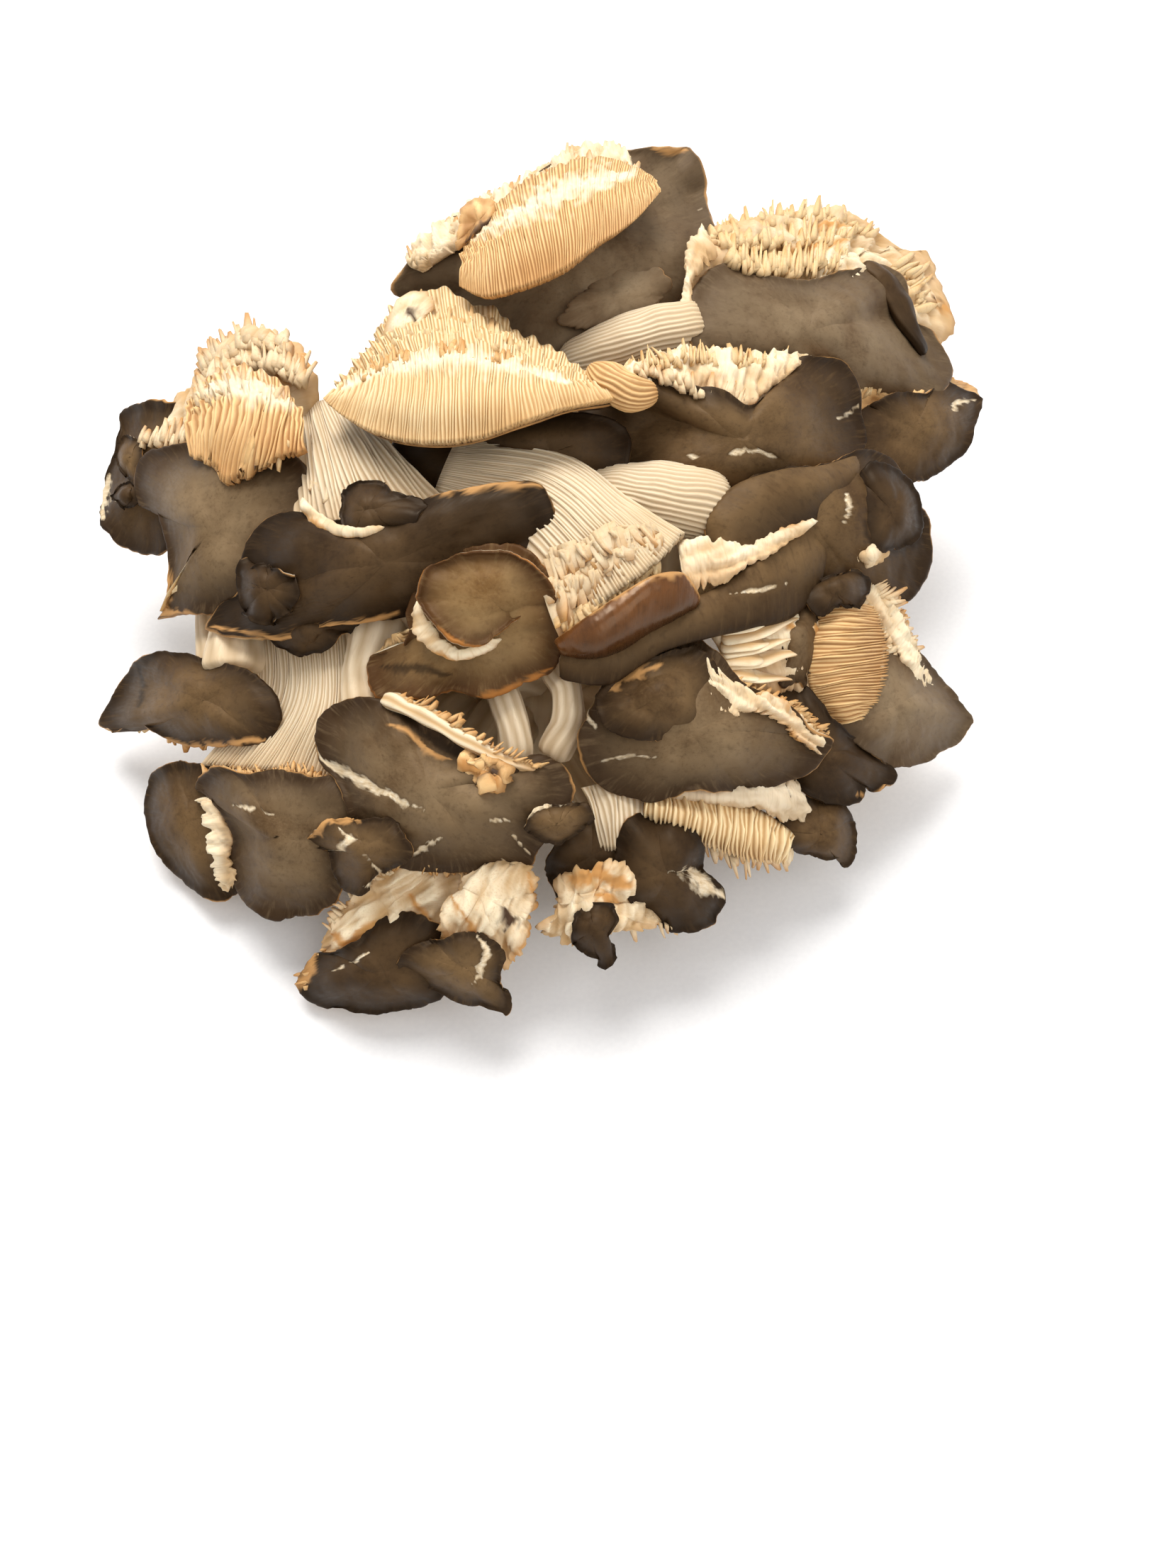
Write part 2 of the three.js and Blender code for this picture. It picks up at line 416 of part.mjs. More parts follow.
forms.upper_right = {
  hub: [60, 57, -3], lift: 5, columns: 22, wave: 0.8,
  rim: [33.5, 55, -11, 32.5, 63, -9, 37, 68, -7, 42, 71.5, -7, 50, 68, -6, 60, 67.3, -6, 68, 69.8, -6,
    76, 70.5, -8, 81, 68, -8, 82.5, 60, -8, 88.3, 55, -9, 88, 49, -9, 84, 45, -11, 72, 45.5, -13,
    62, 48, -14, 50, 50.5, -15, 40, 52, -14],
  gillRim: [32, 57, -13, 32, 66, -10, 34, 76, -8, 42, 80.7, -10, 52, 83.5, -12, 63, 84.8, -13, 72, 82, -14,
    78, 76, -14, 87, 74, -16, 90.5, 64, -16, 92.5, 57, -16, 90, 50, -15, 80, 47, -16, 60, 50, -18, 42, 54, -17],
  rods: [[[8, 50, -24, 17, 54.5, -16, 26, 58, -12, 36, 60, -11], [3.4, 3.6, 3.8, 4.5]]],
};
forms.far_right = {
  hub: [85, 34, -9], lift: 3, columns: 16,
  rim: [72, 31, -14, 73, 36, -12, 79, 42, -10, 85, 42.5, -10, 90, 44.5, -11, 98.5, 40.3, -14, 97, 34.5, -14,
    95, 30, -14, 89, 24.5, -15, 81, 23.5, -15, 75, 25, -15],
  gillRim: [70, 38, -17, 70.5, 44, -15, 76, 46, -14, 84, 46.3, -14, 92, 46.3, -15, 98.5, 43, -17, 98, 36, -18,
    94, 29, -19, 86, 25, -20, 76, 26, -19],
};

// Caps round the back, with centre, outward direction and radius in the cluster's own frame
const backCaps = {
  back_left: { at: [-56, 34, 42], out: [-0.62, 0.58, 0.52], size: 30, tall: 0.72 },
  back: { at: [-8, 58, 54], out: [-0.05, 0.86, 0.5], size: 34, tall: 0.62 },
  back_right: { at: [60, 48, 38], out: [0.5, 0.76, 0.42], size: 26, tall: 0.74 },
};

function backRows(shape, columns, rings, grow) {
  const out = new THREE.Vector3(...shape.out).normalize();
  const side = new THREE.Vector3(0, 0, 1).cross(out).normalize(), high = out.clone().cross(side);
  return rings.map((r) => Array.from({ length: columns }, (_, j) => {
    const angle = (2 * Math.PI * j) / columns;
    const reach = (shape.size * (1 + 0.1 * Math.sin(3 * angle + 1) + 0.05 * Math.sin(7 * angle))) * r
      + (r === 1 ? grow : 0);
    return new THREE.Vector3(...shape.at)
      .addScaledVector(side, reach * Math.cos(angle))
      .addScaledVector(high, reach * shape.tall * Math.sin(angle))
      .addScaledVector(out, 7 * (1 - r * r) - 3 * r ** 6 + 0.9 * r * r * Math.sin(5 * angle));
  }));
}

function backLeaf(shape, part, extra) {
  const rings = [0, 0.6, 1], out = new THREE.Vector3(...shape.out).normalize();
  const rows = backRows(shape, 18, rings, extra);
  if (part === 'skin') {
    return sheet(rows, true, out, (i) => GAP / 2 + CAP_FLESH * (1 - 0.45 * rings[i]) + extra, () => GAP / 2 - extra);
  }
  const ridge = (i, j) => (extra > 0 || (j % 2 === 1 && i > 0) ? GILL_RIDGE : 0);
  return sheet(rows, true, out, () => extra - GAP / 2, (i, j) => -(GAP / 2 + GILL_FLESH + ridge(i, j) + extra));
}

// Stems run from under each cap down into the base
const ROOTS = {
  front: [-7, -16], lowest: [-12, -22], low_right: [6, -20], front_right: [12, -14],
  round: [-4, -5], curled: [16, 2], right_low: [18, -8], centre_right: [11, 8],
  dark_left: [-14, 2], left: [-18, 4], left_low: [-18, -6], left_front: [-15, -12],
  crown: [-2, 16], upper_right: [8, 15], far_right: [17, 9],
};

function rootPath(key) {
  const [u, v, d] = forms[key].hub ?? forms[key].neck;
  const hub = seen([u, v, d - 3]);
  const [x, y] = ROOTS[key];
  const foot = new THREE.Vector3(x, y, 17);
  const middle = hub.clone().lerp(foot, 0.5);
  middle.z -= 0.1 * hub.distanceTo(foot);
  return [hub, middle, foot];
}

// The base: a lumpy cut butt with the lower stems growing out of it
function base() {
  const sides = 18, levels = [[0, 0.97], [3, 1], [14, 0.96], [BASE_HEIGHT - 5, 0.7]];
  const verts = [], tris = [];
  levels.forEach(([z, k], i) => {
    for (let j = 0; j < sides; j += 1) {
      const angle = (2 * Math.PI * j) / sides;
      const radius = BASE_RADIUS * k * (1 + 0.07 * Math.sin(3 * angle + 0.4 * i) + 0.05 * Math.sin(7 * angle));
      verts.push(new THREE.Vector3(radius * Math.cos(angle), 0.86 * radius * Math.sin(angle), z));
    }
  });
  for (let i = 0; i < levels.length - 1; i += 1) {
    for (let j = 0; j < sides; j += 1) {
      const a = i * sides + j, b = i * sides + ((j + 1) % sides);
      tris.push(a, b, a + sides, b, b + sides, a + sides);
    }
  }
  const low = verts.push(new THREE.Vector3(0, 0, 0)) - 1;
  const high = verts.push(new THREE.Vector3(0, 0, BASE_HEIGHT + 2)) - 1;
  const top = (levels.length - 1) * sides;
  for (let j = 0; j < sides; j += 1) {
    tris.push(low, (j + 1) % sides, j, high, top + j, top + ((j + 1) % sides));
  }
  return solid(verts, tris);
}

// The cream body of a mushroom: gill layer, torn flesh, ribs and the stem that shows, as one piece
function creamBody(key, extra) {
  const form = forms[key];
  let body;
  const add = (piece) => { body = body ? body.add(piece) : piece; };
  if (!form.single || form.single === 'gills') {
    if (form.gillRim || form.fleshRim || !form.gillRows || form.joinUnder) {
      const under = { ...form, rim: form.gillRim, hub: form.gillHub ?? form.hub };
      add(leaf(form.gillRim ? under : form, 'gills', extra));
    }
  }
  if (form.fleshRim) {
    const rim = form.fleshRim, count = rim.length / 3;
    const mean = [0, 1, 2].map((k) => triples(rim).reduce((s, p) => s + p[k], 0) / count);
    const flap = { ...form, rim, hub: [mean[0], mean[1], mean[2] + 1.5], lift: 1, gillsFront: true, wave: 0.8 };
    add(leaf(flap, 'gills', extra));
  }
  if (form.gillRows) {
    const fan = { rows: form.gillRows, columns: form.gillColumns, gillsFront: true, rings: [0, 0.33, 0.67, 1] };
    add(leaf(fan, 'gills', extra));
  }
  (form.rods ?? []).forEach(([path, radii]) => add(stem(triples(path).map(seen), radii, extra)));
  return body;
}

// Order of growth: what lies in front keeps its place and what is behind is trimmed to clear it
const order = ['front_small', 'lowest_mid', 'lapel', 'front', 'chestnut', 'round', 'front_right', 'upturned',
  'long', 'dark_left', 'oval', 'left_tongue', 'torn', 'centre_right', 'left_front', 'curled', 'wedge', 'lowest',
  'right_low', 'left', 'left_low', 'upper_right', 'low_right', 'left_edge', 'dark_lobes', 'small_low', 'far_right',
  'shaded', 'low_back', 'crown', 'left_back'];
const single = { lapel: 'gills', torn: 'gills', wedge: 'gills', left_tongue: 'gills', front_small: 'skin',
  low_back: 'skin', dark_lobes: 'skin', small_low: 'skin', shaded: 'skin' };
const placed = [];
const cluster = new THREE.Group();
cluster.name = 'oyster_mushroom_cluster';
const CLEAR = 0.55;

// Adds one body after trimming it clear of those already there and keeping its largest piece
function place(name, body, grown, colour, roughness) {
  const box = body.boundingBox();
  const meets = (other) => [0, 1, 2].every((k) => box.min[k] < other.max[k] && other.min[k] < box.max[k]);
  let kept = body;
  placed.forEach((other) => { if (meets(other.box)) kept = kept.subtract(other.grown); });
  const largest = (whole) => whole.decompose().sort((a, b) => b.volume() - a.volume())[0];
  kept = largest(largest(kept).simplify(0.14));
  placed.push({ grown, box: grown.boundingBox() });
  const mesh = kept.getMesh();
  const geometry = new THREE.BufferGeometry();
  geometry.setAttribute('position', new THREE.BufferAttribute(new Float32Array(mesh.vertProperties), 3));
  geometry.setIndex(new THREE.BufferAttribute(new Uint32Array(mesh.triVerts), 1));
  geometry.computeVertexNormals();
  const material = new THREE.MeshStandardMaterial({ color: colour, roughness, metalness: 0 });
  const object = new THREE.Mesh(geometry, material);
  object.name = name;
  cluster.add(object);
}

const SKIN = { chestnut: 0x5a3219, front: 0x6b5238, crown: 0x96806a, upper_right: 0x8a735a, dark_left: 0x463626 };
const isSkin = (key) => single[key] !== 'gills';
for (const key of order) {
  const form = forms[key];
  if (isSkin(key)) {
    const side = form.skinFront ? { ...form, gillsFront: false } : form;
    const face = key === 'chestnut' ? { ...form, gillsFront: false } : side;
    place(`cap_${key}`, leaf(face, 'skin', 0), leaf(face, 'skin', CLEAR), SKIN[key] ?? 0x6e563e, 0.55);
  }
  if (single[key] !== 'skin') {
    place(`gills_${key}`, creamBody(key, 0), creamBody(key, CLEAR), 0xe6cfa2, 0.75);
  }
}
for (const [key, shape] of Object.entries(backCaps)) {
  place(`cap_${key}`, backLeaf(shape, 'skin', 0), backLeaf(shape, 'skin', CLEAR), 0x7a6248, 0.55);
  place(`gills_${key}`, backLeaf(shape, 'gills', 0), backLeaf(shape, 'gills', CLEAR), 0xe6cfa2, 0.75);
}

let clump = base();
for (const key of Object.keys(ROOTS)) {
  const [hub, middle, foot] = rootPath(key);
  clump = clump.add(stem([hub.clone().lerp(middle, 0.3), middle, foot], [12, 7.5, 9], 0, 2));
}
for (const [key, shape] of Object.entries(backCaps)) {
  const at = new THREE.Vector3(...shape.at), foot = new THREE.Vector3(0.12 * at.x, 0.2 * at.y, 17);
  const middle = at.clone().lerp(foot, 0.5);
  middle.z -= 5;
  clump = clump.add(stem([at.clone().lerp(middle, 0.2), middle, foot], [10, 7, 9], 0, 2));
}
place('base_clump', clump, clump, 0xe0cba6, 0.8);

export default cluster;
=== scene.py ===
import math

import bpy
import numpy as np
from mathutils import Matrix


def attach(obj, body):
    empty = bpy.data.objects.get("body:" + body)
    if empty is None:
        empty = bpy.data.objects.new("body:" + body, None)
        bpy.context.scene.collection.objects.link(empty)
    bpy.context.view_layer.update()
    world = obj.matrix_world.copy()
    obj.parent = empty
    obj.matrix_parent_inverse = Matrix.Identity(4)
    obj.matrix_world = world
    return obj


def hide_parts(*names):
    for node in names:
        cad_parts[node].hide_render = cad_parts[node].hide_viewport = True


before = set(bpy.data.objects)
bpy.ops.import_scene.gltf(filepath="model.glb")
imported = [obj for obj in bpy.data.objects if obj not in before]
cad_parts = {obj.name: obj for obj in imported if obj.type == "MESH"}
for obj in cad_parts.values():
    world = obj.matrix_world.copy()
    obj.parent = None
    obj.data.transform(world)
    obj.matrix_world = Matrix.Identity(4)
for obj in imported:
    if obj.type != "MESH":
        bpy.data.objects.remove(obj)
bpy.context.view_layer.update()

# Camera
# The cluster lies on a pale sheet and is photographed from close above its front, so what is near
# looks larger than what is far. The eye is 280 mm from the cluster's middle and looks down at 59 degrees.
EYE = np.array([10.3, -180.9, 257.1])
camera = bpy.data.objects.new("camera", bpy.data.cameras.new("camera"))
camera.data.lens = 28
camera.data.sensor_width = 36
camera.data.clip_start = 0.01
camera.location = EYE / 1000
camera.rotation_euler = (math.radians(31), 0, 0)
bpy.context.collection.objects.link(camera)
bpy.context.scene.camera = camera

# Front cap
# A broad brown cap of soft flesh under a thin skin, grown from a stem at its upper left. Its upper margin
# is torn into a white rib with tan teeth, and small lobes stand at its right.

# A guide point is millimetres across, up and out. Across and up lie in the plane through MIDDLE that faces
# the camera, where RISE and LEAN are the cosine and sine of 31 degrees. Out is from the dome to the eye.
MIDDLE = np.array([0, 0, 45])
RISE, LEAN = 0.857, 0.515


def seen(points):
    """Across, up and out in millimetres to places: along the sight line to the dome, then out of it."""
    u, v, d = np.asarray(points, float).reshape(-1, 3).T
    ray = np.stack([u, RISE * v, MIDDLE[2] + LEAN * v], 1) - EYE
    dome = 72 + 0.42 * v - 0.0016 * v * v - 0.0035 * u * u
    ray *= ((dome - EYE[2]) / ray[:, 2])[:, None]
    return EYE + ray * (1 - d / np.linalg.norm(ray, axis=1))[:, None]


def looked(places):
    """Places to across and up: where the sight line through each one meets the plane facing the eye."""
    ray = places - EYE
    facing = np.array([0, -LEAN, RISE])
    depth = (MIDDLE - EYE) @ facing
    point = EYE + ray * (depth / (ray @ facing))[..., None] - MIDDLE
    return np.stack([point[..., 0], RISE * point[..., 1] + LEAN * point[..., 2]], -1)


def unit(way):
    """Vectors of length 1 along the given ones."""
    return way / np.maximum(np.linalg.norm(way, axis=-1, keepdims=True), 1e-9)


def ease(x, low, high):
    """Smooth step from 0 at low to 1 at high."""
    t = np.clip((x - low) / (high - low), 0, 1)
    return t * t * (3 - 2 * t)


def swell(p, size, seed):
    """Smooth bumps about size millimetres across: sine waves in seeded directions, from about -1 to 1."""
    rng = np.random.default_rng(seed)
    total, waves = 0, 7
    for _ in range(waves):
        way = rng.normal(size=3)
        way *= 2 * np.pi * rng.uniform(0.5, 1.4) / (size * np.linalg.norm(way))
        total = total + np.sin(p @ way + rng.uniform(0, 6.3))
    return total / 3


def jag(s, knots, seed, sharp=1.0):
    """Uneven teeth from 0 to 1 along s, which wraps: random heights at knots, joined by straight lines."""
    heights = np.random.default_rng(seed).uniform(0, 1, knots) ** sharp
    place = (s % 1) * knots
    k = np.floor(place).astype(int)
    return heights[k % knots] + (heights[(k + 1) % knots] - heights[k % knots]) * (place - k)


def bend(p, k, f):
    """Centripetal Catmull-Rom: the point a fraction f of the way along piece k of the padded points p."""
    a, b, c, d = p[k], p[k + 1], p[k + 2], p[k + 3]
    ga, gb, gc = (np.maximum(np.linalg.norm(y - x, axis=-1, keepdims=True) ** 0.5, 1e-6)
                  for x, y in ((a, b), (b, c), (c, d)))
    start = ((b - a) / ga - (c - a) / (ga + gb) + (c - b) / gb) * gb
    stop = ((c - b) / gb - (d - b) / (gb + gc) + (d - c) / gc) * gb
    f = f[..., None]
    return b + start * f + (3 * (c - b) - 2 * start - stop) * f ** 2 + (2 * (b - c) + start + stop) * f ** 3


def open_curve(p, s):
    """Places at fractions s of a smooth curve through the places p."""
    padded = np.vstack([2 * p[:1] - p[1:2], p, 2 * p[-1:] - p[-2:-1]])
    place = np.clip(s, 0, 1) * (len(p) - 1)
    k = np.minimum(place.astype(int), len(p) - 2)
    return bend(padded, k, place - k)


def ring_curve(points):
    """A closed curve through the points as a table of even lengths: s from 0 to 1, places, whole length."""
    p = seen(points)
    padded = np.vstack([p[-1:], p, p[:2]])
    steps = 24
    t = np.linspace(0, len(p), len(p) * steps + 1)
    k = np.minimum(t.astype(int), len(p) - 1)
    places = bend(padded, k, t - k)
    length = np.concatenate([[0], np.cumsum(np.linalg.norm(np.diff(places, axis=0), axis=1))])
    return length / length[-1], places, length[-1]


def fan(form, s, r, grow=0.0):
    """A cap's middle surface: lines from hub to rim, eased flat at both ends, folded, torn at the rim.

    The way out of it comes back with it."""
    hub = seen(form["hub"])[0]
    along, places, _ = ring_curve(form["rim"])
    out = unit(EYE - hub)
    rim = np.stack([np.interp(s % 1, along, places[:, k]) for k in range(3)], -1)
    step = rim - hub
    reach = np.linalg.norm(step, axis=-1)
    seed = form["seed"]
    teeth = jag(s, 41, seed, 3) + 0.7 * jag(s, 130, seed + 1, 2) + 0.3 * jag(s, 310, 5)
    torn = form.get("ragged", 0.7) * teeth
    stretch = 1 + (grow - torn) / reach * ease(r, 0.5, 1)
    lobes, turn = form.get("lobes", 5), 2 * np.pi * s
    folds = (np.sin(lobes * turn + seed) + 0.6 * np.sin((lobes - 2) * turn + 2 * seed)
             + 0.45 * np.sin((lobes + 4) * turn + 3 * seed))
    height = 1.35 * form["lift"] * r ** 1.5 * (1 - r) + form["wave"] * r ** 1.6 * folds
    drop = step @ out
    settle = 0.7 * ease(r, 0, 1) + 0.3 * r ** 1.5 - r
    place = hub + step * (r * stretch)[..., None] + out * (height + drop * settle)[..., None]
    uneven = 1.3 * swell(place, 21, 3) + 0.4 * swell(place, 8, seed)
    return place + out * (uneven * ease(r, 0, 0.4))[..., None], out


def normals(grid, closed, out):
    """Unit normals of a grid of places, turned to the side that out points to."""
    across = np.roll(grid, -1, 1) - np.roll(grid, 1, 1) if closed else np.gradient(grid, axis=1)
    n = np.cross(across, np.gradient(grid, axis=0))
    if closed:
        n[0] = n[1].mean(0)
    n = unit(n)
    return n if (n @ out).sum() > 0 else -n


def shell(top, low, closed, marks):
    """A closed body between two grids of places: the faces of both and a wall round the edge.

    A closed grid wraps across and its first row is one point. Each mark holds its values on both grids."""
    m, n = top.shape[:2]
    count = m * n - (n - 1 if closed else 0)
    ids = np.arange(count - m * n, count).reshape(m, n)
    keep = np.arange(m * n)
    if closed:
        ids[0] = 0
        keep = np.concatenate([[0], keep[n:]])
    verts = np.concatenate([grid.reshape(-1, 3)[keep] for grid in (top, low)])
    i, j = np.indices((m - 1, n if closed else n - 1)).reshape(2, -1)
    k = (j + 1) % n
    quads = np.stack([ids[i, j], ids[i + 1, j], ids[i + 1, k], ids[i, k]], 1)
    if closed:
        ring = ids[-1][::-1]
    else:
        ring = np.concatenate([ids[0, :-1], ids[:-1, -1], ids[-1, :0:-1], ids[:0:-1, 0]])
    after = np.roll(ring, -1)
    wall = np.stack([ring, after, after + count, ring + count], 1)
    both = np.concatenate([quads, quads[:, ::-1] + count, wall])
    tris = np.concatenate([both[:, [0, 1, 2]], both[:, [0, 2, 3]]])
    tris = tris[(tris[:, 0] != tris[:, 1]) & (tris[:, 1] != tris[:, 2]) & (tris[:, 2] != tris[:, 0])]
    data = {}
    for name, pair in marks.items():
        pair = [np.broadcast_to(p, top.shape[:2] if np.ndim(p) < 3 else top.shape) for p in pair]
        data[name] = np.concatenate([p.reshape((m * n,) + p.shape[2:])[keep] for p in pair])
    return right_side_out({"verts": verts, "tris": tris, "data": data})


def right_side_out(body):
    """The same body with its triangles turned so that its volume is positive."""
    corners = body["verts"][body["tris"]] - body["verts"].mean(0)
    if (np.cross(corners[:, 0], corners[:, 1]) * corners[:, 2]).sum() < 0:
        body["tris"] = body["tris"][:, ::-1]
    return body


def flow(grid, s, r, closed):
    """Streak coordinates in millimetres: across the piece and, six times slower, along it.

    A round piece's streaks run outwards and fade into even mottling towards its hub."""
    wide = np.linalg.norm(np.diff(grid[-1], axis=0), axis=1).sum()
    tall = np.linalg.norm(grid[-1] - grid[0], axis=1).mean() / 6
    s, r = np.broadcast_to(s, grid.shape[:2]), np.broadcast_to(r, grid.shape[:2])
    if closed:
        turn = 2 * np.pi * s
        far = wide / 6.28 * (1 - (1 - r) ** 2.5)
        return np.stack([far * np.cos(turn), far * np.sin(turn), tall * r], -1)
    return np.stack([wide * s, 0 * s, tall * r], -1)


def near(places, lines):
    """How close each place is, as seen, to given lines: 1 on a line, 0 past its tapering width."""
    view = looked(places)
    best = np.zeros(view.shape[:-1])
    rough = (1 + 0.5 * swell(places, 3, 8) + 0.35 * swell(places, 1.1, 9)).clip(0.25)
    for width, *points in lines:
        points = np.array(points, float).reshape(-1, 2)
        sides = len(points) - 1
        for k in range(sides):
            step = points[k + 1] - points[k]
            f = np.clip(((view - points[k]) @ step) / (step @ step), 0, 1)
            gap = np.linalg.norm(view - points[k] - f[..., None] * step, axis=-1)
            half = 0.36 * width * rough * (0.25 + 0.9 * np.sin(np.pi * (k + f) / sides))
            best = np.maximum(best, np.clip(1.4 - 0.8 * gap / half, 0, 1))
    return best


def marked(form, grid, s, r, closed, **more):
    """The marks that paint a piece: distance out, underside, streaks, tears, tan lines, painted shade
    lines.
    """
    streaks = flow(grid, s, r, closed)
    marks = {"rad": (r, r), "under": (0.0, 1.0), "flow": (streaks, streaks)}
    # The third kind of line is painted shade, which darkens creases, gaps, pockets and holes.
    for key in ("tear", "tan", "dark"):
        marks[key] = (near(grid, form.get(key + "s", ())), 0.0)
    marks.update(more)
    return marks


def skin(form, columns=140, rings=28):
    """A cap's skin: a tapering sheet on the outer side of its middle surface, rolled in at the rim."""
    s, r = np.meshgrid(np.arange(columns) / columns, 1 - (1 - np.linspace(0, 1, rings + 1)) ** 1.4)
    grid, out = fan(form, s, r)
    n = normals(grid, True, out)
    roll = form.get("roll", -0.8) * ease(r, 0.8, 1) ** 2
    edge = np.sqrt(np.clip(1 - np.clip((r - 0.95) / 0.05, 0, 1) ** 2, 0.02, 1))
    thick = form.get("flesh", 1.9) * (1 - 0.55 * r) * edge
    fine = 0.07 * swell(grid, 2.6, 6) * ease(r, 0.1, 0.5)
    marks = marked(form, grid, s, r, True)
    cut = ease(marks["tear"][0], 0.2, 0.8)
    top = grid + n * (0.25 + thick + fine - 0.35 * cut - roll)[..., None]
    low = grid + n * (0.1 - roll)[..., None]
    return shell(top, low, True, marks)


def gill_steps(count):
    """Places and heights across gills, four to each: floor, floor, crest, crest; and each gill's number."""
    places = (np.arange(count)[:, None] + np.array([0.0, 0.3, 0.5, 0.8])) / count
    return places.reshape(-1), np.tile([0.0, 0.0, 1.0, 1.0], count), np.repeat(np.arange(count), 4)


def gill_height(crest, number, r, deep, seed):
    """Height of gills: three of every four start part of the way out, and all are uneven in depth."""
    start = np.array([0.04, 0.62, 0.34, 0.56])[number % 4]
    own = np.random.default_rng(seed).uniform(0.7, 1.1, number.max() + 1)[number]
    ripple = 0.9 + 0.1 * np.sin(13 * r + 7 * own * number)
    return crest * deep * own * ripple * ease(r, start, start + 0.15)


def gill_fan(form):
    """The gill layer under a cap: a thin sheet on its inner side, with radial gills."""
    pitch, deep, sheet, inset, sink, rings = 2.1, 1.3, 1.2, 0.6, 0.3, 3
    count = max(24, int(ring_curve(form["rim"])[2] / pitch))
    places, crest, number = gill_steps(count)
    r = (1 - (1 - np.linspace(0, 1, rings + 1)) ** 1.2)[:, None]
    s = places + 0.2 / count * np.sin(8 * r + 0.7 * number)
    r = np.broadcast_to(r, s.shape)
    grid, out = fan(form, s, r, -inset)
    n = normals(grid, True, out)
    lower = form.get("roll", -0.8) * ease(r, 0.8, 1) ** 2
    lift = gill_height(crest, number, r, deep, form["seed"])
    top = grid - n * (sink + sheet + lift + lower)[..., None]
    low = grid - n * (sink + lower)[..., None]
    marks = marked(form, grid, s, r, True, ridge=(np.broadcast_to(crest, s.shape), 0.5))
    return shell(top, low, True, marks)


def strand(grid, grain, seed):
    """Fibres about 1 mm wide: bumps drawn out seven times longer along the grain, an angle as seen."""
    view = looked(grid) + 0.6 * swell(grid, 11, seed)[..., None]
    along = view @ [np.cos(grain), np.sin(grain)]
    across = view @ [-np.sin(grain), np.cos(grain)]
    lines = np.stack([along / 7, across, 0 * across], -1)
    return swell(lines, 2.6, seed) + 0.6 * swell(lines, 1.3, seed + 1)


def torn_flap(form, columns=160, rings=24, thick=1.6, rough=0.55):
    """A torn piece of flesh: a fan whose face is pulled into fibres and lumps, with a ragged thin edge."""
    s, r = np.meshgrid(np.arange(columns) / columns, np.linspace(0, 1, rings + 1))
    grid, out = fan(form, s, r)
    n = normals(grid, True, out)
    edge = np.sqrt(np.clip(1 - r ** 8, 0.03, 1))
    seed = form["seed"]
    fibre = strand(grid, form.get("grain", 1.4), seed)
    relief = rough * (1.2 * swell(grid, 6, seed) + 0.4 * swell(grid, 1.9, seed + 1) + 0.8 * fibre)
    top = grid + n * ((thick + relief) * edge)[..., None]
    low = grid - n * (0.3 * edge)[..., None]
    # Raised fibres and lumps take the light crest colour and hollows the darker floor colour: painted
    # highlight and painted shade.
    ridge = np.clip(0.55 + 0.34 * fibre + 0.3 * swell(grid, 6, seed), 0, 1)
    return shell(top, low, True, marked(form, grid, s, r, True, ridge=(ridge, 0.5)))


def rod(points, radii, around=30, steps=36, ribs=9, deep=0.04, flat=0.82, raw=False):
    """A stem: an oval tube along a smooth path, finely fluted lengthwise, with closed ends.

    The path's points are guide points, or places when raw is set."""
    t = np.linspace(0, 1, steps + 1)
    centre = open_curve(np.asarray(points, float) if raw else seen(points), t)
    way = unit(np.gradient(centre, axis=0))
    side = unit(np.cross(way, [0.3, 0.2, 1]))
    high = np.cross(side, way)
    radius = np.interp(t, np.linspace(0, 1, len(radii)), radii)
    radius = radius * np.sqrt(np.clip(1 - np.abs(2 * t - 1) ** 14, 0.0, 1))
    s = np.arange(around) / around
    angle = 2 * np.pi * s
    flute = np.sin(ribs * angle + 1.5 * np.sin(5 * t)[:, None])
    reach = radius[:, None] * (1 + deep * flute)
    grid = (centre[:, None] + side[:, None] * (reach * np.cos(angle))[..., None]
            + high[:, None] * (flat * reach * np.sin(angle))[..., None])
    grid = grid + 0.3 * swell(grid, 8, 5)[..., None] * high[:, None]
    grid[0], grid[-1] = centre[0], centre[-1]
    last = (steps - 1) * around + 1
    ids = np.arange(1, last).reshape(steps - 1, around)
    i, j = np.indices((steps - 2, around)).reshape(2, -1)
    k = (j + 1) % around
    quads = np.stack([ids[i, j], ids[i, k], ids[i + 1, k], ids[i + 1, j]], 1)
    first_end = np.stack([np.zeros(around, int), np.roll(ids[0], -1), ids[0]], 1)
    last_end = np.stack([np.full(around, last), ids[-1], np.roll(ids[-1], -1)], 1)
    tris = np.concatenate([quads[:, [0, 1, 2]], quads[:, [0, 2, 3]], first_end, last_end])
    along = np.broadcast_to(t[:, None], flute.shape)
    streaks = np.stack([6.3 * radius.mean() * np.broadcast_to(s, flute.shape), 0 * flute,
                        along * len(points) / 2.0], -1)
    # The grooves between the flutes take the darker floor colour: painted shade.
    rows = {"verts": grid, "rad": along, "ridge": 0.5 + 0.5 * flute, "flow": streaks}
    data = {key: np.concatenate([g[0, :1], g[1:-1].reshape((-1,) + g.shape[2:]), g[-1, :1]])
            for key, g in rows.items()}
    return right_side_out({"verts": data.pop("verts"), "tris": tris, "data": data})


